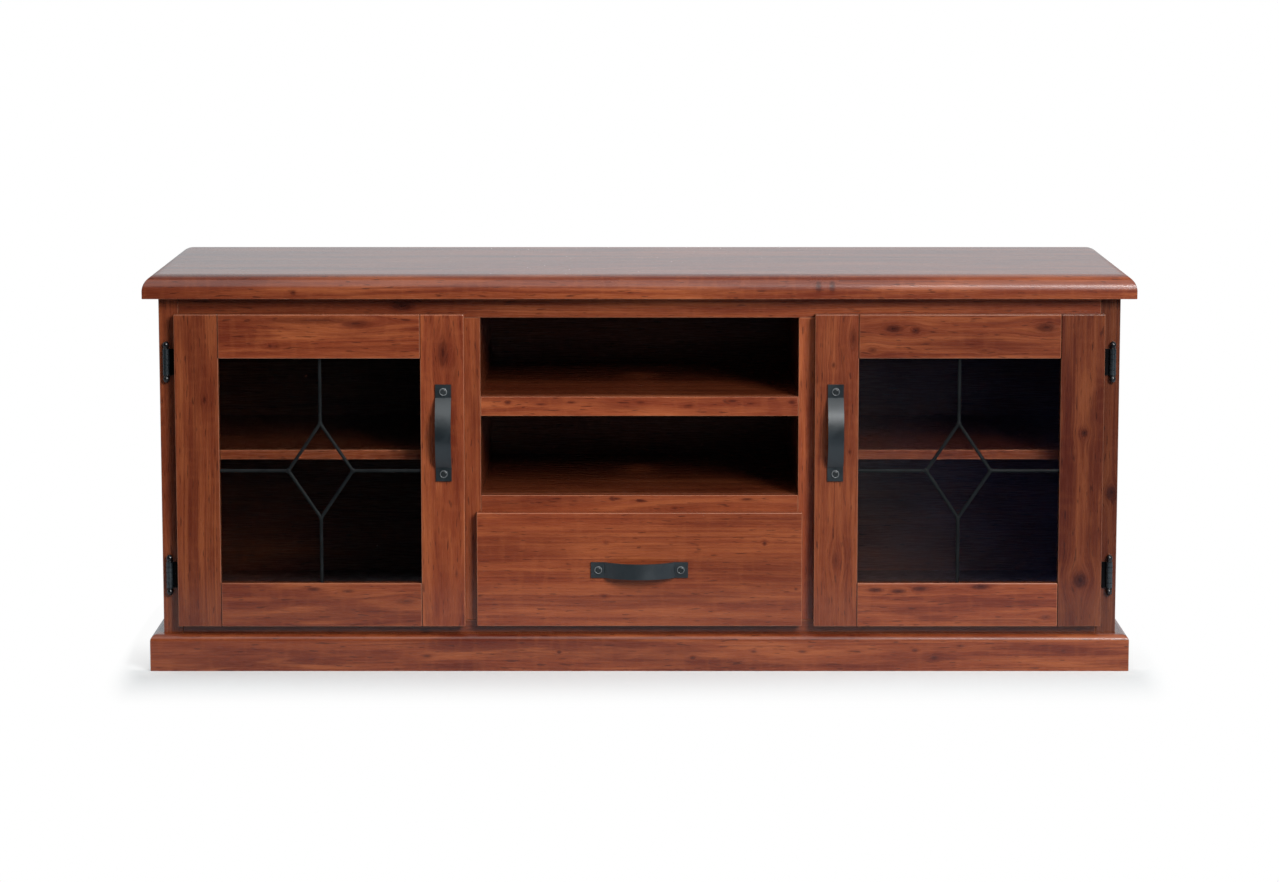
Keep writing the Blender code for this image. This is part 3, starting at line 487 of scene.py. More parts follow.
# %% Painted shades, contrasts and joints
PAINTED_SHADES = {
    "inner_shelf_left": (0.003, 0.009, 1.50, 1), "inner_shelf_right": (0.003, 0.009, 1.10, 1),
    "face_top_rail": (0.10, 1.0, 0.67, 0), "top_panel": (0.05, 0.75, 0.78, 0),
    "plinth_front": (0.6, 1.4, 0.95, 0), "drawer_front": (0.05, 0.45, 1.10, 0),
}
CONTRASTS = {
    "left_door_top_rail": 1.8, "left_door_bottom_rail": 1.4, "left_door_handle_stile": 1.5,
    "left_door_hinge_stile": 1.2, "right_door_top_rail": 1.5, "right_door_bottom_rail": 1.6,
    "right_door_handle_stile": 1.5, "right_door_hinge_stile": 1.6, "plinth_front": 1.7,
    "face_mullion_left": 1.5, "face_shelf_rail_upper": 1.3, "top_panel": 1.3,
}
JOINTS = {"left_door_hinge_stile": 1, "left_door_handle_stile": -1,
          "right_door_hinge_stile": -1, "right_door_handle_stile": 1}

# %% [markdown]
# A knot is its place across and up the board and its radius, in millimetres, then how long
# it is for its width, and how dark. The places were read off the photograph, so the eye finds
# the same knots there. A knot runs right through a thin board, but on a flat board such as
# the top it is a ball, because there it shows on the front edge.

# %% Knots seen on the front
KNOTS = {
    "face_top_rail": [(-366, 570, 6.5, 2.4, 1.0)],
    "left_door_top_rail": [(-437, 545, 6.0, 3.5, 0.75), (-500, 550, 5.0, 14, 0.65),
                           (-560, 510, 2.6, 3, 0.5)],
    "left_door_hinge_stile": [(-671, 427, 2.7, 2, 0.8)],
    "left_door_handle_stile": [(-303, 500, 7.0, 3.0, 0.85), (-284, 470, 5.0, 3, 0.35),
                               (-284, 155, 2.0, 3, 0.6)],
    "left_door_bottom_rail": [(-506, 130, 2.8, 3.5, 0.8), (-453, 127, 2.4, 3.5, 0.7),
                              (-362, 111, 4.0, 3.5, 0.6)],
    "right_door_handle_stile": [(329, 521, 6.1, 3, 0.6), (299, 481, 2.7, 1.4, 0.7),
                                (304, 176, 5.4, 2.5, 0.45), (325, 346, 1.9, 1.5, 0.8)],
    "right_door_top_rail": [(391, 537, 5.2, 2.2, 1.0), (425, 534, 4.2, 1.3, 0.9),
                            (626, 539, 6.4, 2.2, 0.85), (359, 504, 4.2, 1.6, 0.6),
                            (532, 504, 2.4, 2.5, 0.5)],
    "right_door_hinge_stile": [(687, 375, 4.4, 1.2, 1.0), (684, 144, 9.5, 1.15, 1.0)],
    "right_door_bottom_rail": [(367, 129, 2.9, 3.4, 1), (402, 127, 2.9, 3.4, 1),
                               (436, 131, 3.3, 3.4, 1), (530, 134, 3.8, 3.4, 1),
                               (632, 86, 3.5, 2.2, 0.6)],
    "face_stile_right": [(733, 279, 7.0, 1.4, 1.0)],
    "face_shelf_rail_upper": [(-204, 420, 2.9, 1.6, 0.9), (-153, 417, 1.5, 4.5, 0.8),
                              (-106, 420, 1.5, 4.5, 0.8), (2, 420, 1.8, 3.4, 0.7),
                              (144, 422, 2.0, 3.2, 0.9), (76, 415, 1.5, 4.5, 0.7),
                              (172, 418, 1.5, 3.6, 0.7), (236, 420, 2.6, 1.8, 0.9)],
    "face_shelf_rail_lower": [(-156, 263, 1.3, 4.0, 0.7), (-37, 269, 1.9, 4.0, 0.8),
                              (0, 266, 1.6, 4.0, 0.8), (167, 268, 1.9, 4.0, 0.8),
                              (55, 254, 1.7, 2.2, 0.7)],
    "drawer_front": [(-52, 203, 3.2, 1.2, 0.45), (194, 202, 3.2, 0.9, 0.85),
                     (-55, 119, 1.9, 2.2, 0.8), (243, 130, 1.6, 1.2, 0.8)],
    "plinth_front": [(-331, 24, 2.2, 2.6, 0.7), (-125, 30, 2.4, 1.3, 0.9), (83, 21, 2.4, 1.6, 0.9),
                     (178, 31, 2.0, 2, 0.7), (254, 31, 2.2, 3, 0.7), (429, 33, 2.2, 2, 0.8),
                     (459, 21, 3.2, 1.8, 0.85), (500, 40, 2.0, 3, 0.7), (660, 32, 2.0, 2, 0.7)],
    "top_panel": [(-532, 593, 3.4, 1.1, 0.8), (-49, 613, 4.6, 1.3, 1.0), (146, 613, 4.0, 1.4, 1.0),
                  (275, 603, 9.0, 0.45, 1.0), (296, 603, 9.0, 0.45, 1.0)],
}
print(sum(len(places) for places in KNOTS.values()), "knots on", len(KNOTS), "boards")

# %% [markdown]
# ## A finish for each board
#
# All boards share the groups, and each has another seed, another place of the pith, and its
# own rows of the tables. The grain has to run along the board, so the vector that the figure
# gets has the board's own length first, its width second and its thickness last. `corners`
# scales the painted highlight on rounded corners, and is 0 on the top and the plinth, whose
# round edges are stained like the rest, without that highlight. The lacquer is the shader's
# coat, which is smoother than the wood below it.

# %% Board helpers
AXES = {"x": (0, 2, 1), "z": (2, 0, 1), "y": (1, 2, 0), "flat": (0, 1, 2), "wall": (2, 1, 0)}
COAT = 0.35
COAT_ROUGHNESS = 0.08
# Width of the pale edges: wear and a painted highlight.
EDGE_WEAR_AND_HIGHLIGHT = 1.6 * MM
GRAIN_DEPTH = 0.3 * MM
RAIL = 68 * MM
TENON = 20 * MM


def number_from(name):
    """The same seed for the same name, run after run."""
    return sum(ord(letter) * (place + 3) for place, letter in enumerate(name)) % 97 + 1.0


def shown_box(name):
    """A board's box, without the tenons that are hidden in the door's stiles."""
    low, high = (Vector(corner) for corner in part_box(name))
    if name.endswith(("door_top_rail", "door_bottom_rail")):
        low.x += TENON
        high.x -= TENON
    return low, high


def joint_line(sides, low, high, side):
    """1 along the inner edge of a door stile, but only beside the rails."""
    edge = high.x if side > 0 else low.x
    gap = (sides[0] - edge).math("ABSOLUTE")
    level = (sides[2] - (low.z + high.z) / 2).math("ABSOLUTE")
    at_rail = level.math("GREATER_THAN", (high.z - low.z) / 2 - RAIL)
    return gap.fade(0.7 * MM, 1.5 * MM, 1.0, 0.0) * at_rail


def knots_on(tree, node, ordered, low, grain):
    """All knots of a board, each added to those before it."""
    marks = {"Swell": 0.0, "Core": 0.0, "Halo": 0.0}
    for x, z, size, stretch, depth in KNOTS.get(node, ()):
        place = (x * MM, low.y, z * MM)
        narrow = 1 / (size * MM)
        squeeze = (narrow / stretch, narrow, narrow if grain == "flat" else 0.0)
        centre = [place[axis] for axis in AXES[grain]]
        marks = place_group(tree, "knot", {"Vector": ordered, "Centre": centre, "Depth": depth,
                                           "Squeeze": squeeze, **marks})
    return marks


print("grain can run:", ", ".join(AXES))

# %% Board material
def board_material(node, grain, tone, plank=0.0, corners=1.0, seed=None, name=None):
    """The finish of one board, from its solid's box and its rows of the tables."""
    material, tree, shader = new_material(name or node + "_wood")
    seed = seed or number_from(node)
    low, high = shown_box(node)
    order = AXES[grain]
    here = wire(tree, "TexCoord", key="Object")
    sides = unpack(here)
    ordered = pack(tree, *(sides[axis] for axis in order))
    chance = random.Random(seed)
    middle = [(low[axis] + high[axis]) / 2 for axis in order]
    aside = chance.choice((-1, 1)) * chance.uniform(0.03, 0.16)
    pith = (0.0, middle[1] + aside, middle[2] + chance.uniform(0.07, 0.16))
    knots = knots_on(tree, node, ordered, low, grain)
    number, seam = 0.5, 0.0
    if plank > 0:
        glued = place_group(tree, "glued_planks", {"Across": sides[order[1]], "Width": plank,
                                                   "Seed": seed})
        number, seam = glued["Plank"], glued["Seam"]
    # A painted shade: the tone changes slowly along one axis, painting light and shade on the
    # board.
    if node in PAINTED_SHADES:
        start, end, first, axis = PAINTED_SHADES[node]
        tone = sides[axis].fade(low[axis] + start, low[axis] + end, first, tone)
    figure = place_group(tree, "pine_figure", {"Vector": ordered, "Pith": pith, "Seed": seed,
                                               "Plank": number, "Swell": knots["Swell"]})
    # Pale edges: wear, and a painted highlight on eased edges and rounded corners.
    wear_and_highlight = place_group(tree, "worn_and_lit_edge", {"Vector": here, "Low": low, "High": high,
                                              "Width": EDGE_WEAR_AND_HIGHLIGHT, "Corners": corners})["Wear"]
    if node in JOINTS:
        line = joint_line(sides, low, high, JOINTS[node])
        seam = line.most(seam)
        wear_and_highlight = wear_and_highlight * line.flip()
    skin = place_group(tree, "stained_lacquer", {
        **figure, "Core": knots["Core"], "Halo": knots["Halo"], "Seam": seam, "Wear": wear_and_highlight,
        "Plank": number, "Tone": tone, "Contrast": CONTRASTS.get(node, 1.0)})
    bump = wire(tree, "Bump", {"Height": skin["Height"], "Strength": 0.30,
                               "Distance": GRAIN_DEPTH})
    feed(shader, {"Base Color": skin["Colour"], "Roughness": skin["Roughness"], "Normal": bump,
                  "Coat Weight": COAT, "Coat Roughness": COAT_ROUGHNESS})
    return material


for grain, tones in BOARDS.items():
    for name, tone in tones.items():
        plank = PLANK if grain in GLUED and name != THIN_SHEET else 0.0
        finish = board_material(name, grain, tone, plank)
        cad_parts[name].material_slots[0].material = finish
print("boards stained")

# %% [markdown]
# ## Making pieces
#
# A new piece starts as corners and faces in a `bmesh`, Blender's workshop for meshes, because
# a script can say its sizes exactly. `keep` turns it into an object, shades it smooth between
# gentle angles, says which body it moves with and hides the plain solids that it stands for.
# `lathe` spins an outline about an axis, which makes screws, pins and barrels, and
# `prism_into` closes two like rings of corners into a bar or a plate.

# %% Finishing a piece
WELD = 0.001 * MM
SHARP = math.radians(50)


def mesh_from(work, name, material):
    mesh = bpy.data.meshes.new(name)
    work.to_mesh(mesh)
    work.free()
    mesh.materials.append(material)
    return mesh


def keep(work, name, body, material, replaced=(), angle=35.0):
    """Turns a bmesh into a finished piece on its body."""
    bmesh.ops.remove_doubles(work, verts=work.verts, dist=WELD)
    bmesh.ops.recalc_face_normals(work, faces=work.faces)
    mesh = mesh_from(work, name, material)
    mesh.shade_smooth()
    mesh.set_sharp_from_angle(angle=math.radians(angle))
    piece = stand(name, mesh)
    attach(piece, body)
    if replaced:
        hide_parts(*replaced)
    return piece


def ease_edges(piece, width):
    """Rounds the sharp edges that are left on a piece."""
    ease = piece.modifiers.new("ease", "BEVEL")
    ease.width = width
    ease.segments = 2
    ease.limit_method = "ANGLE"
    ease.angle_limit = SHARP
    ease.harden_normals = True


print("pieces can be kept and eased")

# %% Shaping helpers
def metres(*points):
    """An outline given in millimetres."""
    return [(radius * MM, height * MM) for radius, height in points]


def lathe(work, outline, place=Matrix(), steps=32, closed=False):
    """Spins (radius, height) points about the Z axis of a place."""
    rings = []
    for radius, height in outline:
        count = 1 if radius == 0 else steps
        turns = [math.tau * step / steps for step in range(count)]
        rings.append([work.verts.new(place @ Vector((radius * math.cos(turn),
                      radius * math.sin(turn), height))) for turn in turns])
    pairs = list(zip(rings, rings[1:]))
    if closed:
        pairs.append((rings[-1], rings[0]))
    for lower, upper in pairs:
        for step in range(steps):
            after = (step + 1) % steps
            corners = [lower[step % len(lower)], lower[after % len(lower)],
                       upper[after % len(upper)], upper[step % len(upper)]]
            work.faces.new(list(dict.fromkeys(corners)))


def prism_into(work, rings):
    """Two rings of corners, each closed by a face, with walls between them."""
    first, last = rings
    for ring in rings:
        work.faces.new(ring)
    for number in range(len(first)):
        after = (number + 1) % len(first)
        work.faces.new([first[number], first[after], last[after], last[number]])


def box_into(work, low, high, ease=0.0, segments=2):
    """A box between two corners, with its edges rounded by ease."""
    made = bmesh.ops.create_cube(work, size=1.0)["verts"]
    low, high = Vector(low), Vector(high)
    bmesh.ops.scale(work, vec=high - low, verts=made)
    bmesh.ops.translate(work, vec=(low + high) / 2, verts=made)
    if ease > 0:
        edges = list({edge for vertex in made for edge in vertex.link_edges})
        bmesh.ops.bevel(work, geom=edges, offset=ease, segments=segments, profile=0.5,
                        affect="EDGES")


TO_FRONT = Matrix.Rotation(math.pi / 2, 4, "X")
TO_BACK = Matrix.Rotation(-math.pi / 2, 4, "X")
print("shapes can be spun, pushed through or boxed")

# %% [markdown]
# ## The top
#
# The top is the piece that hands meet: thick, with its front and side edges rounded over to
# a quarter circle. The plain solid has eight facets there, and smooth shading alone would
# leave their corners in the outline. A bevel of twenty, shaded smooth, gives the long soft
# highlight that runs along the front.

# %% Top
TOP_ROUND = 25.5 * MM
TOP_FACETS = 20
TOP_EASE = 0.9 * MM
TOP_PLANK = 120 * MM
TOP_TONE = 0.93
TOP_SEED = 41.0


def make_top():
    low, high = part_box("top_panel")
    work = bmesh.new()
    box_into(work, low, high)
    upper = [edge for edge in work.edges
             if all(vertex.co.z > high.z - MM for vertex in edge.verts)
             and not all(vertex.co.y > high.y - MM for vertex in edge.verts)]
    bmesh.ops.bevel(work, geom=upper, offset=TOP_ROUND, segments=TOP_FACETS, profile=0.5,
                    affect="EDGES")
    # A painted shade darkens the top towards its left end.
    material = board_material("top_panel", "flat", TOP_TONE, TOP_PLANK, 0.0, TOP_SEED,
                              "top_board_wood")
    top = keep(work, "top_board", "carcass", material, ["top_panel"])
    ease_edges(top, TOP_EASE)


make_top()
print("top made,", TOP_ROUND / MM, "mm round-over")

# %% [markdown]
# ## The plinth
#
# Skirting boards run round the foot of the unit. Their top edge is rounded and they meet at
# the front corners in mitres. A box with one bevelled edge would do for the middle of a
# board, but not for its mitre. So each board is its section, drawn once and pushed along the
# floor, with the ends slid out so that two boards meet at 45 degrees.

# %% Plinth
PLINTH_OUT = 19.5 * MM
PLINTH_ROUND = 10 * MM
PLINTH_FACETS = 12
PLINTH_EASE = 0.5 * MM
PLINTH_TONES = {"x": 0.99, "y": 0.85}


def plinth_section(top):
    """The board cut across, as (out from the carcass, up) points."""
    section = [(0.0, 0.0), (PLINTH_OUT, 0.0)]
    for step in range(PLINTH_FACETS + 1):
        turn = math.pi / 2 * step / PLINTH_FACETS
        section.append((PLINTH_OUT - PLINTH_ROUND * (1 - math.cos(turn)),
                        top - PLINTH_ROUND * (1 - math.sin(turn))))
    return section + [(0.0, top)]


def make_plinth(node, ends, slides, place, grain):
    """A board between two ends, each slid along by so much for every metre outwards."""
    section = plinth_section(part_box(node)[1].z)
    work = bmesh.new()
    prism_into(work, [[work.verts.new(place(end + slide * out, out, up)) for out, up in section]
                      for end, slide in zip(ends, slides)])
    # The front board also gets a painted shade, slightly darker towards its left end.
    material = board_material(node, grain, PLINTH_TONES[grain], corners=0.0)
    ease_edges(keep(work, node + "_board", "carcass", material, [node]), PLINTH_EASE)


def make_plinths():
    low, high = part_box("plinth_front")
    reach = high.x - PLINTH_OUT
    wall = high.y
    make_plinth("plinth_front", (-reach, reach), (-1, 1),
                lambda along, out, up: (along, wall - out, up), "x")
    for word, sign in (("left", -1), ("right", 1)):
        low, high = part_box(f"plinth_{word}")
        wall_x = max(abs(low.x), abs(high.x)) - PLINTH_OUT
        make_plinth(f"plinth_{word}", (low.y + PLINTH_OUT, high.y), (-1, 0),
                    lambda along, out, up, sign=sign, wall=wall_x: (sign * (wall + out), along, up),
                    "y")


make_plinths()
print("plinth made,", PLINTH_ROUND / MM, "mm round-over")

# %% [markdown]
# ## Dark iron
#
# The pulls and hinges are steel with a dark blue-grey finish that has a soft sheen. Up close
# such a coat is slightly mottled, and one flat colour would look like plastic. One group
# gives the mottle, its roughness and its height, and each row of the table adds two colours
# in thousandths, how metallic it is, how strongly it mirrors and how deep its grain is. The
# hinges' plates and pins are blacker than their knuckles, and each pull screw sits in a
# paler rim. The leads and the catches' brown plastic are mottles of the same kind.

# %% Iron
MOTTLE_DEPTH = 0.1 * MM


def mottle_group():
    tree, into, out = group("mottle", {"vector": "Vector", "colour": "Dark Light"},
                            {"colour": "Colour", "value": "Roughness Height"})
    grain = noise(into["Vector"], 900.0, 2.0)
    share = grain * 0.25 + noise(into["Vector"], 40.0, 3.0) * 0.75
    feed(out, {"Colour": share.fade(0.3, 0.7).tint(into["Dark"], into["Light"]),
               "Roughness": share.fade(0.3, 0.7, 0.30, 0.38), "Height": grain})


mottle_group()


def mottled_material(name, dark, light, metallic, ior, bump):
    """A mottle between two colours, given in thousandths."""
    material, tree, shader = new_material(name)
    dark, light = ((*(part / 1000 for part in colour), 1.0) for colour in (dark, light))
    skin = place_group(tree, "mottle", {"Vector": wire(tree, "TexCoord", key="Object"),
                                        "Dark": dark, "Light": light})
    rise = wire(tree, "Bump", {"Height": skin["Height"], "Strength": bump,
                               "Distance": MOTTLE_DEPTH})
    feed(shader, {"Base Color": skin["Colour"], "Roughness": skin["Roughness"],
                  "Metallic": metallic, "IOR": ior, "Normal": rise})
    print("mottled", name)
    return material


MOTTLES = {
    "iron": ((8, 14, 18), (15, 24, 29), 0.15, 1.80, 0.3),
    "screw_head": ((18, 22, 24), (32, 38, 41), 0.0, 1.3, 0.2),
    "pin_black": ((1, 1, 2), (3, 4, 5), 0.0, 1.6, 0.1),
    "hinge_black": ((1, 1, 1), (3, 3, 4), 0.0, 1.2, 0.3),
    "screw_steel": ((110, 122, 128), (200, 215, 220), 0.3, 1.7, 0.2),
    "screw_rim": ((115, 125, 132), (215, 232, 240), 0.2, 1.5, 0.2),
    "lead": ((8, 9, 10), (14, 16, 17), 0.0, 1.15, 0.8),
    "catch_plastic": ((22, 15, 12), (40, 28, 22), 0.0, 1.5, 0.25),
}
iron, head, pin_black, black, steel, rim, lead, plastic = (
    mottled_material(name, *row) for name, row in MOTTLES.items())

# %% [markdown]
# ## Bow pulls
#
# Each pull is a strap of iron bent into a bow, with a flat foot at each end and a crisp
# crease where the bow leaves the foot. A curve with a thickness would round that crease off.
# So the side view is two arcs: the inner one springs from the door and the outer one from the
# top of the foot. The strap is the space between them, pushed through the pull's width, with
# its sharp edges eased.

# %% Bow of a pull
SCREW_CENTRES = 128 * MM
STRAP = 2.8 * MM
HEEL = 10.2 * MM
PULL_EASE = 0.7 * MM
BOW_STEPS = 44


def bow_outline(length, reach):
    """Pairs of (along, out) points: the strap's underside and its outer face."""
    springing = SCREW_CENTRES / 2 - HEEL
    rise = reach - STRAP
    inner = (springing**2 + rise**2) / (2 * rise)
    centre = rise - inner
    outer = inner + STRAP
    inner_reach = math.asin(springing / inner)
    outer_reach = math.acos((STRAP - centre) / outer)
    pairs = []
    for step in range(BOW_STEPS + 1):
        share = 2 * step / BOW_STEPS - 1
        low, high = share * inner_reach, share * outer_reach
        pairs.append(((inner * math.sin(low), centre + inner * math.cos(low)),
                      (outer * math.sin(high), centre + outer * math.cos(high))))
    end = length / 2
    return [((-end, 0.0), (-end, STRAP))] + pairs + [((end, 0.0), (end, STRAP))]


def strap_mesh(work, outline, width, place):
    rows = []
    for pair in outline:
        corners = [(pair[0], -1), (pair[0], 1), (pair[1], 1), (pair[1], -1)]
        rows.append([work.verts.new(place @ Vector((along, out, side * width / 2)))
                     for (along, out), side in corners])
    for row, after in zip(rows, rows[1:]):
        for number in range(4):
            other = (number + 1) % 4
            work.faces.new([row[number], row[other], after[other], after[number]])
    work.faces.new(rows[0])
    work.faces.new(rows[-1])
    sharp = [edge for edge in work.edges if edge.calc_face_angle(0.0) > SHARP]
    bmesh.ops.bevel(work, geom=sharp, offset=PULL_EASE, segments=3, profile=0.5, affect="EDGES",
                    clamp_overlap=True)


print("bows have", BOW_STEPS, "steps")

# %% [markdown]
# The screws that hold a pull have domed heads with a round socket, and each stands in a thin
# raised rim. Both are round, so both are outlines for the lathe, from the middle outwards.

# %% Pulls with their screws
def screw_outline(radius, dome, dimple, steps=8):
    first = math.acos(dimple / radius)
    lip = dome * math.sin(first)
    points = [(0.0, lip - 0.8 * MM), (dimple * 0.80, lip - 0.9 * MM),
              (dimple * 0.94, lip - 0.3 * MM), (dimple, lip)]
    for step in range(1, steps + 1):
        turn = first * (1 - step / steps)
        points.append((radius * math.cos(turn), dome * math.sin(turn)))
    return points + [(radius, -0.4 * MM), (0.0, -0.4 * MM)]


SCREW = screw_outline(6.0 * MM, 2.6 * MM, 2.8 * MM)
RIM = metres((4.5, 1.45), (4.8, 1.95), (5.3, 2.05), (5.8, 1.75), (6.1, 1.0), (5.9, 0.4), (5.2, 0.6))


def make_pull(node, name, body, upright):
    low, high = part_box(node)
    middle = (low + high) / 2
    run = Vector((0, 0, 1)) if upright else Vector((1, 0, 0))
    out = Vector((0, -1, 0))
    turn = Matrix((run, out, run.cross(out))).transposed().to_4x4()
    place = Matrix.Translation((middle.x, high.y, middle.z)) @ turn
    size = high - low
    length, width = (size.z, size.x) if upright else (size.x, size.z)
    work = bmesh.new()
    strap_mesh(work, bow_outline(length, size.y), width, place)
    keep(work, name, body, iron, [node], angle=24.0)
    for number, sign in enumerate((-1, 1), 1):
        seat = place @ Matrix.Translation((sign * SCREW_CENTRES / 2, STRAP, 0.0)) @ TO_BACK
        work = bmesh.new()
        lathe(work, SCREW, seat)
        keep(work, f"{name}_screw_{number}", body, head, angle=30.0)
        work = bmesh.new()
        lathe(work, RIM, seat, closed=True)
        keep(work, f"{name}_rim_{number}", body, rim, angle=50.0)
    print(name, "made", round(length / MM, 1), "mm long")


make_pull("left_door_handle", "left_bow_pull", "left_door", True)
make_pull("right_door_handle", "right_bow_pull", "right_door", True)
make_pull("drawer_handle", "drawer_bow_pull", "drawer", False)

# %% [markdown]
# ## Hinges
#
# Each door hangs on two butt hinges whose barrels stand outside the door's edge. Five
# knuckles take turns: three belong to the frame's leaf and two to the door's. A pin with a
# ball at each end runs through them. One plain cylinder would do while the door is shut, but
# the knuckles turn against each other when it opens, so each is spun on its own. The leaves
# are hidden behind the door until then, and they get their screws too.

# %% Hinge parts
BORE = 2.1 * MM
KNUCKLES = 5
SEAM = 0.3 * MM
CHAMFER = 0.4 * MM
LEAF = 1.0 * MM
PIN_RADIUS = 1.8 * MM
PIN_NECK = 3.8 * MM
BALL_STEPS = 14


def knuckle_spans(bottom, height):
    pitch = height / KNUCKLES
    lows = [bottom + number * pitch + SEAM / 2 for number in range(KNUCKLES)]
    return [(low, low + pitch - SEAM) for low in lows]


def knuckle_outline(barrel, length):
    return [(BORE, 0.0), (barrel - CHAMFER, 0.0), (barrel, CHAMFER),
            (barrel, length - CHAMFER), (barrel - CHAMFER, length), (BORE, length)]


def leaf_outline(edge_x, near_x, clear_x, spans, first):
    """The leaf seen from the front: square, with bays cut for the other leaf's knuckles."""
    bottom, top = spans[0][0] - SEAM / 2, spans[-1][1] + SEAM / 2
    points = [(edge_x, top), (edge_x, bottom)]
    for number, (low, high) in enumerate(spans):
        own = number % 2 == first
        reach = near_x if own else clear_x
        room = 0.0 if own else SEAM
        points += [(reach, max(low - room, bottom)), (reach, min(high + room, top))]
    return points


def countersunk(radius, rise):
    """A flat screw head with a round recess, standing barely proud."""
    return [(0.0, rise - 0.35 * MM), (radius * 0.3, rise - 0.35 * MM), (radius * 0.36, rise),
            (radius * 0.9, rise), (radius, rise * 0.3), (radius, -0.3 * MM), (0.0, -0.3 * MM)]


def pin_outline(ball, half, reach):
    """The pin from the tip of its upper ball, at reach, down to the tip of the lower one."""
    last = math.pi - math.asin(PIN_NECK / ball)
    foot = half + 1.7 * MM
    squash = (reach - foot) / (1 - math.cos(last))
    points = [(0.0, reach)]
    for step in range(1, BALL_STEPS + 1):
        turn = last * step / BALL_STEPS
        points.append((ball * math.sin(turn), reach - squash * (1 - math.cos(turn))))
    points += [(4.1 * MM, half + 1.1 * MM), (ball - 0.2 * MM, half + 0.7 * MM),
               (ball, half + 0.4 * MM), (ball - 0.2 * MM, half), (PIN_RADIUS, half)]
    return points + [(radius, -height) for radius, height in reversed(points)]


print("hinge:", KNUCKLES, "knuckles,", LEAF / MM, "mm leaves")

# %% [markdown]
# The frame's leaf and the door's leaf are made alike. What differs is which knuckles are
# theirs, where the plate lies, how near it comes to the pin, how far out its screws are and
# which way they face. A leaf is one piece with two finishes: its knuckles are iron and its
# plate is black.

# %% Hinges
HINGE_SCREWS = (-0.32, 0.32)
HINGE_SCREW = countersunk(2.6 * MM, 0.12 * MM)


def make_leaf(node, name, body, axis, barrel, spans, first, front, short):
    """A plate in front of the wood with its knuckles round the axis."""
    side = 1 if axis.x > 0 else -1
    low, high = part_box(node)
    edge_x = low.x if side > 0 else high.x
    near_x = side * (abs(axis.x) - short)
    clear_x = side * (abs(axis.x) - barrel - SEAM)
    outline = leaf_outline(edge_x, near_x, clear_x, spans, first)
    work = bmesh.new()
    prism_into(work, [[work.verts.new((x, y, z)) for x, z in outline]
                      for y in (front, front + LEAF)])
    for face in work.faces:
        face.material_index = 1
    for number, (start, end) in enumerate(spans):
        if number % 2 == first:
            place = Matrix.Translation((axis.x, axis.y, start))
            lathe(work, knuckle_outline(barrel, end - start), place, steps=28, closed=True)
    leaf = keep(work, name, body, iron, [node], 30.0)
    leaf.data.materials.append(black)


def make_hinge(level, word):
    low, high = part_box(f"hinge_{level}_pin_{word}")
    axis = (low + high) / 2
    leaf_low, leaf_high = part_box(f"hinge_{level}_frame_leaf_{word}")
    height = leaf_high.z - leaf_low.z
    barrel = (leaf_high.y - leaf_low.y) / 2
    work = bmesh.new()
    outline = pin_outline((high.x - low.x) / 2, height / 2 + SEAM, high.z - axis.z)
    lathe(work, outline, Matrix.Translation(axis), steps=28)
    keep(work, f"hinge_{level}_{word}_pin", "carcass", pin_black,
         [f"hinge_{level}_pin_{word}"], angle=38.0)
    spans = knuckle_spans(leaf_low.z, height)
    door_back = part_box(f"{word}_door_hinge_stile")[1].y
    frame_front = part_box(f"face_stile_{word}")[0].y
    frame_plate = frame_front - SEAM - LEAF
    door_plate = door_back + SEAM
    leaves = (
        ("frame", "carcass", 0, frame_plate, 1.7 * MM, 12 * MM, frame_plate, TO_FRONT),
        ("door", f"{word}_door", 1, door_plate, 1.8 * MM, 24 * MM, door_plate + LEAF, TO_BACK),
    )
    for role, body, first, front, short, screw_reach, screw_y, facing in leaves:
        make_leaf(f"hinge_{level}_{role}_leaf_{word}", f"hinge_{level}_{word}_{role}_leaf", body,
                  axis, barrel, spans, first, front, short)
        work = bmesh.new()
        for share in HINGE_SCREWS:
            x = math.copysign(abs(axis.x) - screw_reach, axis.x)
            seat = Matrix.Translation((x, screw_y, axis.z + share * height))
            lathe(work, HINGE_SCREW, seat @ facing, steps=20)
        keep(work, f"hinge_{level}_{word}_{role}_screws", body, steel, angle=30.0)


for word in ("left", "right"):
    for level in ("lower", "upper"):
        make_hinge(level, word)
print("four hinges made")

# %% [markdown]
# ## The leadlight
#
# The panes look leaded: a diamond in the middle, and a strip from each of its points to the
# frame. Painted lines would look flat as soon as the door swings, so each strip is a lead
# came with a low rounded back, swept along its middle line. A drop of solder covers each
# point of the diamond, as a low dome that is a little uneven, because no two are alike.

# %% Leadlight
CAME_HALF = 2.6 * MM
CAME_RISE = 2.0 * MM
DIAMOND = (49.9 * MM, 73.85 * MM)
SOLDER = 4.0 * MM
CAME_SECTION = [(-1.0, 0.0), (-1.0, 0.28), (-0.72, 0.66), (-0.38, 0.92), (0.0, 1.0),
                (0.38, 0.92), (0.72, 0.66), (1.0, 0.28), (1.0, 0.0)]


def strip_into(work, start, end, back):
    """A half-round strip on the glass between two (x, z) points."""
    run = (Vector(end) - Vector(start)).normalized()
    prism_into(work, [[work.verts.new((x - run.y * across * CAME_HALF, back - up * CAME_RISE,
                       z + run.x * across * CAME_HALF)) for across, up in CAME_SECTION]
                      for x, z in (start, end)])


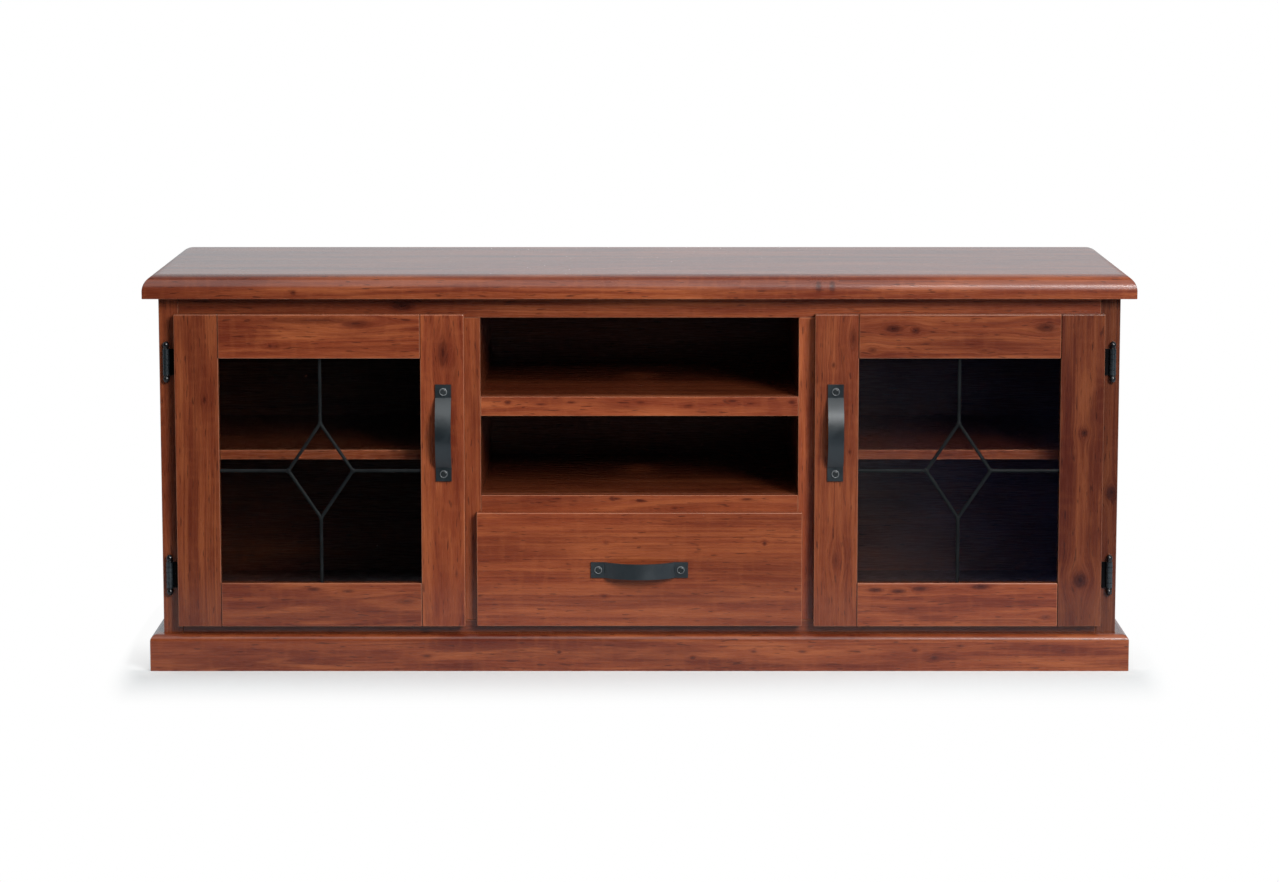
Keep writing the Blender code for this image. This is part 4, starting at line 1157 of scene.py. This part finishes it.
def solder_into(work, x, z, back, chance):
    """A drop of solder: a low dome, wider than the came."""
    radius = SOLDER * chance.uniform(0.92, 1.1)
    outline = [(0.0, 2.25 * MM), (radius * 0.35, 2.2 * MM), (radius * 0.65, 1.9 * MM),
               (radius * 0.88, 1.2 * MM), (radius, 0.0), (0.0, 0.0)]
    stretch = Matrix.Diagonal((chance.uniform(0.9, 1.1), 1.0, chance.uniform(0.9, 1.1), 1.0))
    lathe(work, outline, Matrix.Translation((x, back, z)) @ stretch @ TO_FRONT, steps=20)


def make_leadlight(word):
    node = f"{word}_door_lead_came"
    low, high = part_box(node)
    middle = (low + high) / 2
    half, rise = DIAMOND
    left, right = (middle.x - half, middle.z), (middle.x + half, middle.z)
    top, foot = (middle.x, middle.z + rise), (middle.x, middle.z - rise)
    work = bmesh.new()
    for point, end in ((left, (low.x, middle.z)), (right, (high.x, middle.z)),
                       (top, (middle.x, high.z)), (foot, (middle.x, low.z)),
                       (left, top), (top, right), (right, foot), (foot, left)):
        strip_into(work, point, end, high.y)
    keep(work, f"{word}_door_cames", f"{word}_door", lead, [node], angle=50.0)
    chance = random.Random(word)
    work = bmesh.new()
    for x, z in (left, right, top, foot):
        solder_into(work, x, z, high.y, chance)
    keep(work, f"{word}_door_solder", f"{word}_door", lead, angle=50.0)


for word in ("left", "right"):
    make_leadlight(word)
print("two leadlights made")

# %% [markdown]
# ## Glass
#
# Window glass is clear and smooth, and a film of dust takes a little more light in some
# places than in others. The Principled shader's transmission makes the glass. Cycles blocks
# lamp light behind refracting glass, which would leave the cupboards black, so rays that look
# for a lamp pass through a Transparent shader instead, which Light Path picks out.

# %% Glass
CLEAN = (0.66, 0.69, 0.71, 1.0)
DUSTY = (0.58, 0.62, 0.66, 1.0)
LET_THROUGH = (0.72, 0.75, 0.76, 1.0)


def glass_material(name):
    material, tree, shader = new_material(name)
    smear = noise(wire(tree, "TexCoord", key="Object"), 9.0, 4.0, 0.6)
    feed(shader, {"Base Color": smear.fade(0.42, 0.78).tint(CLEAN, DUSTY), "Roughness": 0.0,
                  "IOR": 1.5, "Transmission Weight": 1.0})
    clear = wire(tree, "BsdfTransparent", {"Color": LET_THROUGH})
    shadow_ray = wire(tree, "LightPath", key="Is Shadow Ray")
    mix = wire(tree, "MixShader", {0: shadow_ray, 1: Wire(shader.outputs[0]), 2: clear})
    feed(tree.nodes["Material Output"], {"Surface": mix})
    return material


pane = glass_material("pane")
for word in ("left", "right"):
    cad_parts[f"{word}_door_glass"].material_slots[0].material = pane
print("panes glazed")

# %% [markdown]
# ## Small fittings
#
# A catch under the top rail holds each door shut: a plastic body with two steel strips, and
# a steel plate on the door that it pulls. The thin back is pinned into its rebates. They
# could be left out of a picture from the front, but they show when a door is open or the unit
# is seen from behind. Rounded boxes and spun heads are enough at their size.

# %% Catches
BODY_BEHIND_POLES = 0.6 * MM
BODY_EASE = 1.2 * MM
POLE_INSET = 4 * MM
POLE_DEEP = 3 * MM
POLE_HALF = 0.9 * MM
STRIKE = (19 * MM, 1.2 * MM, 5.5 * MM)
STRIKE_SCREWS = 13 * MM
STRIKE_SCREW = countersunk(2.4 * MM, 0.2 * MM)


def make_catch(word):
    node = f"catch_{word}"
    low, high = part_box(node)
    work = bmesh.new()
    box_into(work, (low.x, low.y + BODY_BEHIND_POLES, low.z), high, BODY_EASE, 3)
    keep(work, f"catch_{word}_body", "carcass", plastic, [node])
    work = bmesh.new()
    for height in (0.25, 0.75):
        z = low.z + (high.z - low.z) * height
        box_into(work, (low.x + POLE_INSET, low.y, z - POLE_HALF),
                 (high.x - POLE_INSET, low.y + POLE_DEEP, z + POLE_HALF), 0.2 * MM)
    keep(work, f"catch_{word}_poles", "carcass", steel)
    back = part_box(f"{word}_door_top_rail")[1].y
    middle = (low + high) / 2
    half, thick, tall = STRIKE
    work = bmesh.new()
    box_into(work, (middle.x - half, back, middle.z - tall),
             (middle.x + half, back + thick, middle.z + tall), 0.3 * MM)
    for sign in (-1, 1):
        seat = Matrix.Translation((middle.x + sign * STRIKE_SCREWS, back + thick, middle.z))
        lathe(work, STRIKE_SCREW, seat @ TO_BACK, steps=20)
    keep(work, f"{word}_door_strike", f"{word}_door", steel)


for word in ("left", "right"):
    make_catch(word)
print("catches and strike plates made")

# %% Pins of the back
PIN_INSET = 6 * MM
PINS_ACROSS = 13
PINS_UP = 5
NAIL_HEAD = metres((0.0, 0.35), (1.1, 0.3), (1.5, 0.1), (1.5, -0.3), (0.0, -0.3))


def make_pins():
    """Small nail heads round the edge of the back."""
    low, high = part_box("back_panel")
    left, right = low.x + PIN_INSET, high.x - PIN_INSET
    foot, top = low.z + PIN_INSET, high.z - PIN_INSET
    spots = []
    for number in range(PINS_ACROSS + 1):
        x = left + (right - left) * number / PINS_ACROSS
        spots += [(x, foot), (x, top)]
    for number in range(1, PINS_UP):
        z = foot + (top - foot) * number / PINS_UP
        spots += [(left, z), (right, z)]
    work = bmesh.new()
    for x, z in spots:
        lathe(work, NAIL_HEAD, Matrix.Translation((x, high.y, z)) @ TO_BACK, steps=12)
    keep(work, "back_pins", "carcass", steel)
    print(len(spots), "pins")


make_pins()

# %% [markdown]
# ## The studio
#
# The real unit stands on a white sweep. A big soft lamp stands far off on the right, so
# shadows fall to the left and the bays are lit across. A long soft box hangs over the front,
# and a narrow lamp on the right puts the sharp line of shine on the rounded edge. A lamp
# behind the unit lightens the floor there, and shiny surfaces don't see it. The sweep is
# bright and the lacquered top mirrors it, but the room behind the camera is dark, which is
# why the panes are black. Walls could be built for that, but it is simpler to let the sky
# stand for them: white to the camera, and for light and shine bright behind the unit and dark
# in front.

# %% Sky
SWEEP = {"light": 0.30, "shine": 0.645}
ROOM = {"light": 0.05, "shine": 0.015}
WHITE = (1.0, 1.0, 1.0, 1.0)
MIRRORED_SWEEP = (0.90, 1.0, 1.05, 1.0)


def lookers(tree):
    """Who looks along a ray: 1 for a plain look, also through glass, and 1 for a mirrored one.

    Past glass, Light Path calls every ray a transmission ray. The bounces that it counted on
    the way tell whether the look came straight from the camera or off a shiny surface.
    """
    path = wires(put(tree, "LightPath"))
    bounced = path["Diffuse Depth"].math("GREATER_THAN", 0.5)
    shone = path["Glossy Depth"].math("GREATER_THAN", 0.5)
    direct = (bounced + shone).math("LESS_THAN", 0.5)
    past_glass = path["Is Transmission Ray"]
    straight = path["Is Camera Ray"].most(past_glass * direct)
    mirrored = path["Is Glossy Ray"] * past_glass.flip()
    inside = past_glass * shone.math("GREATER_THAN", bounced)
    return straight, mirrored.most(inside)


def make_sky():
    world = bpy.data.worlds.new("studio")
    scene.world = world
    world.use_nodes = True
    tree = world.node_tree
    behind = unpack(wire(tree, "TexCoord", key="Generated"))[1].fade(-0.15, 0.30)
    light, shine = (behind.fade(0.0, 1.0, ROOM[kind], SWEEP[kind]) for kind in SWEEP)
    straight, mirrored = lookers(tree)
    feed(tree.nodes["Background"], {
        "Color": mirrored.tint(WHITE, MIRRORED_SWEEP),
        "Strength": straight.between(mirrored.between(light, shine), 1.0)})


make_sky()
print("sweep", SWEEP, "room", ROOM)

# %% Lamps
def make_lamp(name, place, aim, size, power, shiny=True):
    lamp = bpy.data.lights.new(name, "AREA")
    lamp.shape = "RECTANGLE"
    lamp.size, lamp.size_y = size
    lamp.energy = power
    holder = stand(name, lamp)
    holder.location = place
    way = Vector(aim) - Vector(place)
    holder.rotation_euler = way.to_track_quat("-Z", "Y").to_euler()
    holder.visible_camera = False
    holder.visible_transmission = False
    holder.visible_glossy = shiny
    print(name, "at", place, power, "W")


make_lamp("key_lamp", (2.5, -5.0, 3.1), (0.0, 0.0, 0.4), (1.8, 2.2), 328.0)
make_lamp("soft_box", (0.0, -1.75, 2.75), (0.0, -0.45, 0.5), (3.0, 2.5), 30.0)
make_lamp("edge_lamp", (1.05, -3.2, 2.55), (0.4, -0.2, 0.6), (0.9, 0.25), 5.0)
make_lamp("back_lamp", (0.0, 4.9, 2.4), (0.0, 0.2, 0.3), (1.0, 2.0), 230.0, shiny=False)

# %% [markdown]
# ## The floor
#
# The floor keeps the unit's shadow near its foot and fades to plain white further out, as in
# the photograph. Lamps strong enough to burn the floor white would spoil the wood, so Light
# Path tells who is looking. The camera sees that floor. Shiny pieces see a pale floor close
# to the unit, so the plinth and the undersides of the pulls catch some light, and a nearly
# black one further off, so the panes stay dark. There a faint, creased, bluish patch lies on
# the right, which gives the right pane its milky look.

# %% What the camera sees of the floor
FADE_OUT = {"beside": 0.065, "before": 0.27, "behind": 0.27}


def floor_glow(tree, across, back):
    """0 where the floor keeps the unit's shadow, and 1 where it is plain white."""
    low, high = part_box("plinth_front")
    beside = across.math("ABSOLUTE") - high.x
    before = (back - low.y) * -1.0
    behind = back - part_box("side_panel_left")[1].y
    gaps = {"beside": beside, "before": before, "behind": behind}
    steps = [(gaps[way] / reach).most(0.0) for way, reach in FADE_OUT.items()]
    away = vectors("LENGTH", pack(tree, *steps), key="Value")
    flank = beside.fade(-0.06, 0.02) * before.fade(-0.30, -0.05, 0.94, 0.74)
    flank = flank * before.fade(-0.02, 0.005, 1.0, 0.38) * before.fade(0.0, 0.08, 1.0, 0.0)
    return away.fade(0.0, 1.0).most(flank)


print("the shadow fades over", FADE_OUT)

# %% What shiny pieces see of the floor
NEAR_GREY = 0.55
NEAR_TINT = (0.92, 1.0, 1.10, 1.0)
PATCH_TINT = (1.05, 1.0, 1.15, 1.0)
NAVY = (0.55, 0.58, 1.50, 1.0)


def mirrored_floor(here, across, back):
    """How light the floor is in a mirror, and its tint."""
    crease = noise(vectors("MULTIPLY", here, (2.2, 0.7, 1.0)), 1.5, 3.0, 0.6)
    patch = across.fade(0.2, 0.42, 0.006, 0.115) * across.fade(0.48, 0.78, 1.0, 0.28)
    patch = patch * back.fade(-3.2, -1.4, 0.35, 1.0) * crease.fade(0.35, 0.65, 0.6, 1.2)
    near = back.fade(-1.10, -0.75)
    far_tint = across.fade(0.42, 0.80).tint(PATCH_TINT, NAVY)
    return near.between(patch, NEAR_GREY), near.tint(far_tint, NEAR_TINT)


print("near floor", NEAR_GREY, "in a mirror")

# %% Floor
SEEN_GREY = 0.975
LIGHT_GREY = 0.40
FLOOR_TINT = (0.985, 1.025, 1.035, 1.0)
FLOOR_REACH = 40.0


def make_floor():
    material, tree, shader = new_material("floor")
    tree.nodes.remove(shader)
    here = wire(tree, "TexCoord", key="Object")
    across, back = unpack(here)[:2]
    straight, mirrored = lookers(tree)
    shine, shine_tint = mirrored_floor(here, across, back)
    level = straight.between(mirrored.between(LIGHT_GREY, shine), SEEN_GREY)
    matt = wire(tree, "BsdfDiffuse", {"Color": dim(mirrored.tint(FLOOR_TINT, shine_tint), level)})
    white = wire(tree, "Emission", {"Color": WHITE, "Strength": 1.0})
    share = straight * floor_glow(tree, across, back)
    mix = wire(tree, "MixShader", {0: share, 1: matt, 2: white})
    feed(tree.nodes["Material Output"], {"Surface": mix})
    mesh = bpy.data.meshes.new("floor")
    end = FLOOR_REACH
    mesh.from_pydata([(-end, -end, 0), (end, -end, 0), (end, end, 0), (-end, end, 0)], [],
                     [(0, 1, 2, 3)])
    mesh.materials.append(material)
    floor = stand("floor", mesh)
    floor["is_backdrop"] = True


make_floor()
print("floor laid")

# %% [markdown]
# Light also comes in through the two cable holes of the back. Seen from the front they hide
# behind the rails, but the lacquered shelves would mirror them as two bright spots, which the
# photograph doesn't have: the real unit stands close to its backdrop. Plugs would close the
# holes in every view, so a black disc sits in each instead, and only shiny surfaces see it.

# %% Discs in the cable holes
HOLE_HEIGHTS = (0.37145, 0.5292)
DISC = metres((0.0, 0.5), (24.5, 0.5), (24.5, -0.5), (0.0, -0.5))


def make_discs():
    material, _, shader = new_material("black_card")
    feed(shader, {"Base Color": (0.0, 0.0, 0.0, 1.0), "Specular IOR Level": 0.0})
    low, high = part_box("back_panel")
    work = bmesh.new()
    for height in HOLE_HEIGHTS:
        lathe(work, DISC, Matrix.Translation((0.0, (low.y + high.y) / 2, height)) @ TO_BACK)
    discs = stand("hole_discs", mesh_from(work, "hole_discs", material))
    discs.visible_camera = False
    discs.visible_diffuse = False
    discs.visible_transmission = False
    discs.visible_shadow = False
    discs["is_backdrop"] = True


make_discs()
print("discs put in the cable holes")

# %% [markdown]
# ## The size of the dressed unit
#
# The dressed unit has to stay the size of its solids, so both boxes are written down.

# %% Size of the dressed unit
dressed_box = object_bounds()
boxes = {"frame": [list(corner) for corner in plain_box],
         "visual": [list(corner) for corner in dressed_box]}
for name, corners in boxes.items():
    print(name, [round(value, 4) for corner in corners for value in corner])
